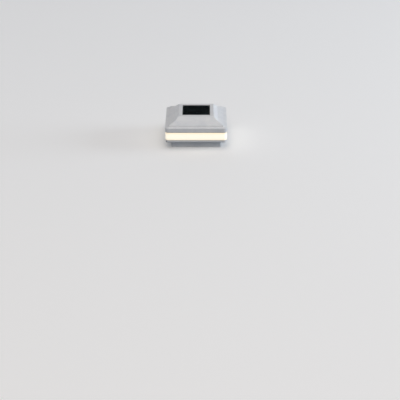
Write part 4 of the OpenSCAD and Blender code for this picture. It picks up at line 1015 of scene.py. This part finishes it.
# Half-width and level of each bend of the roof, the corner radius there, and how far the bend is softened
roof = [
    (body_half, fascia_z, corner_r, 0.3 * mm),
    (body_half, ledge_z, corner_r, 0.55 * mm),
    (riser_half, riser_z, 1.6 * mm, 0.15 * mm),
    (riser_half, tier_z, 1.5 * mm, 0.25 * mm),
    (foot_half, foot_z, 1.2 * mm, 0.7 * mm),
    (top_half, top_z, 1.0 * mm, 0.55 * mm),
]
inner_r = 1 * mm
wall, *inside = inset([(half, z) for half, z, _, _ in roof], cover_wall)
wall_r = nested(wall.x)
cover_outline = [(seat_half, 0.4 * mm, panel_seat_z, 0), (seat_half, 0.4 * mm, top_z, 0.3 * mm)]
cover_outline += [(half, corner, z, soft) for half, z, corner, soft in reversed(roof)]
cover_outline += [
    (groove_out, nested(groove_out), fascia_z, 0.1 * mm),
    (groove_out, nested(groove_out), groove_top, 0.1 * mm),
    (groove_in, nested(groove_in), groove_top, 0.1 * mm),
    (groove_in, nested(groove_in), fascia_z, 0.1 * mm),
    (rim_in, nested(rim_in), fascia_z, 0.2 * mm),
    (rim_in, nested(rim_in), rim_top, 0.2 * mm),
    (wall.x, wall_r, rim_top, 0.1 * mm),
    (inside[0].x, wall_r, inside[0].y, 0.2 * mm),
]
cover_outline += [(p.x, inner_r, p.y, 0.2 * mm) for p in inside[1:]]
cover_outline += [(tub_half, inner_r, inside[-1].y, 0.2 * mm), (tub_half, inner_r, tub_z, 0)]
cover = square_loft("cover_shell", cover_outline, False, asa_white)

screw_low, screw_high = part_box("housing_screws")
head_d = 5.8 * mm
boss_xy = screw_high.x - head_d / 2
bosses = [(x, y, 0) for x in (-boss_xy, boss_xy) for y in (-boss_xy, boss_xy)]
for spot in bosses:
    boolean(cover, drum(spot, 3.8 * mm, cover_low.z, riser_z), "UNION")
for spot in bosses:
    boolean(cover, drum(spot, 1.5 * mm, cover_low.z - mm, screw_high.z + 1.5 * mm), "DIFFERENCE")
boolean(cover, drum((0, axis_y, 0), 4 * mm, tub_z - mm, panel_seat_z + mm), "DIFFERENCE")
cover.data.materials.clear()
cover.data.materials.append(asa_white)
finished(cover, "white_asa", "top_cover")

# ---- Lead grommet ----
# Silicone rubber bush in the hole under the panel, with a flange that seals against the cover from inside.
# The panel's leads pass through it.
grommet_low, grommet_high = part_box("lead_grommet")
bore_r, neck_r, flange_r, flange_t = 2.4 * mm, 4 * mm, 5.2 * mm, 1 * mm
grommet_h = grommet_high.z - grommet_low.z
bush = [(bore_r, 0, 0.3 * mm), (flange_r, 0, 0.3 * mm), (flange_r, flange_t, 0.3 * mm), (neck_r, flange_t, 0)]
bush += [(neck_r, grommet_h, 0.2 * mm), (bore_r, grommet_h, 0.2 * mm)]
bush = turned(bush, (0, axis_y, grommet_low.z), closed=True)
finished(from_bmesh("lead_grommet_bush", bush, silicone_grey), "seal_rubber", "lead_grommet")

# ---- Solar panel ----
# Black backing board on a foam tape ring, four dark silicon strips joined by two tinned ribbons, and a clear
# resin layer poured over them. The board's edge shows as a black border round the cells.
# Closed-cell foam, die cut: black with fine open cells along its cut edge
material, tree, place = new_material("die_cut_foam")
bubbles = add(tree, "ShaderNodeTexVoronoi", {"Vector": place, "Scale": 1 / (0.35 * mm)})
coated(tree, bubbles, "1D1E20", "303236", bubbles, 0.08 * mm, {"Roughness": 0.9})
tape_low, tape_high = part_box("panel_tape")
tape_in = tape_high.x - 5 * mm
corner = 0.8 * mm
tape = [(tape_high.x, corner, tape_low.z, 0.1 * mm), (tape_high.x, corner, tape_high.z, 0.1 * mm)]
tape += [(tape_in, corner, tape_high.z, 0.1 * mm), (tape_in, corner, tape_low.z, 0.1 * mm)]
finished(square_loft("panel_tape_ring", tape, True, material), "foam_tape", "panel_tape")

# Glass-fibre board with black solder mask: deep black, its weave just felt. Like the cells, it is wetted by
# the resin, so that it hardly reflects
wetted = 0.1
material, tree, place = new_material("black_solder_mask")
thread_pitch = 0.8 * mm
wave = {"Vector": place, "Scale": wave_scale(thread_pitch)}
weave = [add(tree, "ShaderNodeTexWave", wave, bands_direction=way).outputs["Fac"] for way in "XY"]
weave = add(tree, "ShaderNodeMath", {0: weave[0], 1: weave[1]}, operation="MULTIPLY")
coated(tree, weave, "0A0B0D", "101214", weave, 0.01 * mm, {"Roughness": 0.4, "Specular IOR Level": wetted})
board = from_bmesh("panel_backing_board", soft_block(panel_low, panel_high, 0.08 * mm), material)
finished(board, "panel_backing", "panel_board")

# Silicon, etched and coated: near-black blue-green crystals, crossed by printed silver fingers that are drawn
# wider than the real 0.08 mm so that they show
cells_low, cells_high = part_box("solar_cells")
cells_half = cells_high.x
strip_gap = 0.5 * mm
strip_pitch = (2 * cells_half + strip_gap) / 4
material, tree, place = new_material("etched_silicon")
crystal_size = 5 * mm
finger_pitch = 1.6 * mm
crystals = add(tree, "ShaderNodeTexVoronoi", {"Vector": place, "Scale": 1 / crystal_size})
shade = add(tree, "ShaderNodeSeparateXYZ", {0: crystals.outputs["Color"]})
tint = {"Factor": shade, colour_a: linear("061216"), colour_b: linear("0C2228")}
tint = add(tree, "ShaderNodeMix", tint, data_type="RGBA").outputs[colour_out]
lines = {"Vector": place, "Scale": wave_scale(finger_pitch)}
lines = add(tree, "ShaderNodeTexWave", lines, bands_direction="Y").outputs["Fac"]
finger = add(tree, "ShaderNodeMapRange", {"Value": lines, "From Min": 0.97, "From Max": 0.985})
tint = {"Factor": finger, colour_a: tint, colour_b: linear("3A4448")}
tint = add(tree, "ShaderNodeMix", tint, data_type="RGBA").outputs[colour_out]
gloss = add(tree, "ShaderNodeMapRange", {"Value": shade, "To Min": 0.3, "To Max": 0.45})
surface = {"Base Color": tint, "Roughness": gloss, "Specular IOR Level": wetted}
add(tree, "ShaderNodeOutputMaterial", {"Surface": add(tree, "ShaderNodeBsdfPrincipled", surface)})
strip_end = (cells_high.x, cells_low.y + strip_pitch - strip_gap, cells_high.z)
strips = from_bmesh("solar_cell_strips", soft_block(cells_low, strip_end, 0.04 * mm), material)
repeat(strips, material, 4, (0.0, strip_pitch, 0.0))
finished(strips, "silicon_cell", "solar_cells")

# Copper ribbon, tinned by dipping and dulled where the resin wets it: a soft dark grey that hardly shows
tin = plated("dipped_tin_ribbon", "34383B", "2A2D30", 0.55, 1.5 * mm, 0.004 * mm)
ribbon_low, ribbon_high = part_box("cell_ribbons")
ribbon_w = 1.2 * mm
ribbon = soft_block(ribbon_low, (ribbon_low.x + ribbon_w, ribbon_high.y, ribbon_high.z), 0.03 * mm)
ribbon = from_bmesh("cell_ribbon_pair", ribbon, tin)
ribbon_gap = ribbon_high.x - ribbon_low.x - ribbon_w
finished(repeat(ribbon, tin, 2, (ribbon_gap, 0.0, 0.0)), "tinned_ribbon", "cell_ribbons")

# Epoxy resin, poured and levelled: clear with a slight grey-green tint, rounded along its edges by its own
# surface tension, and very slightly uneven. Its anti-glare skin keeps the reflections weak
material, tree, place = new_material("poured_epoxy")
swell = add(tree, "ShaderNodeTexNoise", {"Vector": place, "Scale": 1 / (9 * mm), "Detail": 1.0})
haze = add(tree, "ShaderNodeMapRange", {"Value": swell, "To Min": 0.12, "To Max": 0.22})
surface = {"Base Color": linear("DDE6E4"), "Roughness": haze, "IOR": 1.5, "Transmission Weight": 1.0}
surface |= {"Specular IOR Level": 0.25}
surface |= {"Normal": add(tree, "ShaderNodeBump", {"Height": swell, "Distance": 0.05 * mm})}
add(tree, "ShaderNodeOutputMaterial", {"Surface": add(tree, "ShaderNodeBsdfPrincipled", surface)})
resin_low, resin_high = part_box("panel_resin")
pour_foot = resin_low.z + 0.02 * mm
shape = soft_block((resin_low.x, resin_low.y, pour_foot), resin_high)
soften(shape, 0.2 * mm, 3, lambda edge: max(v.co.z for v in edge.verts) > pour_foot + 0.1 * mm)
finished(from_bmesh("panel_resin_layer", shape, material), "clear_resin", "panel_resin")

# ---- Housing screws ----
# Four long pan head screws of stainless steel, driven from below through the base and the carrier's lugs into
# the cover's bosses. They clamp the whole lamp together.
stainless = plated("stainless_steel", "C6C7C8", "B4B5B7", 0.3, 3 * mm, 0.002 * mm)
head_h = 2.2 * mm
seats = [(x, y, screw_low.z + head_h) for x, y, _ in bosses]
long = {"Shank_Diameter": 3 * mm, "Shank_Length": 16 * mm, "Head_Diameter": head_d, "Head_Height": head_h}
made = screws("housing_screw_set", seats, stainless, **long, Thread_Pitch=1.35 * mm, Tip_Up=1.0)
finished(made, "stainless_steel", "housing_screws", sharp=30)
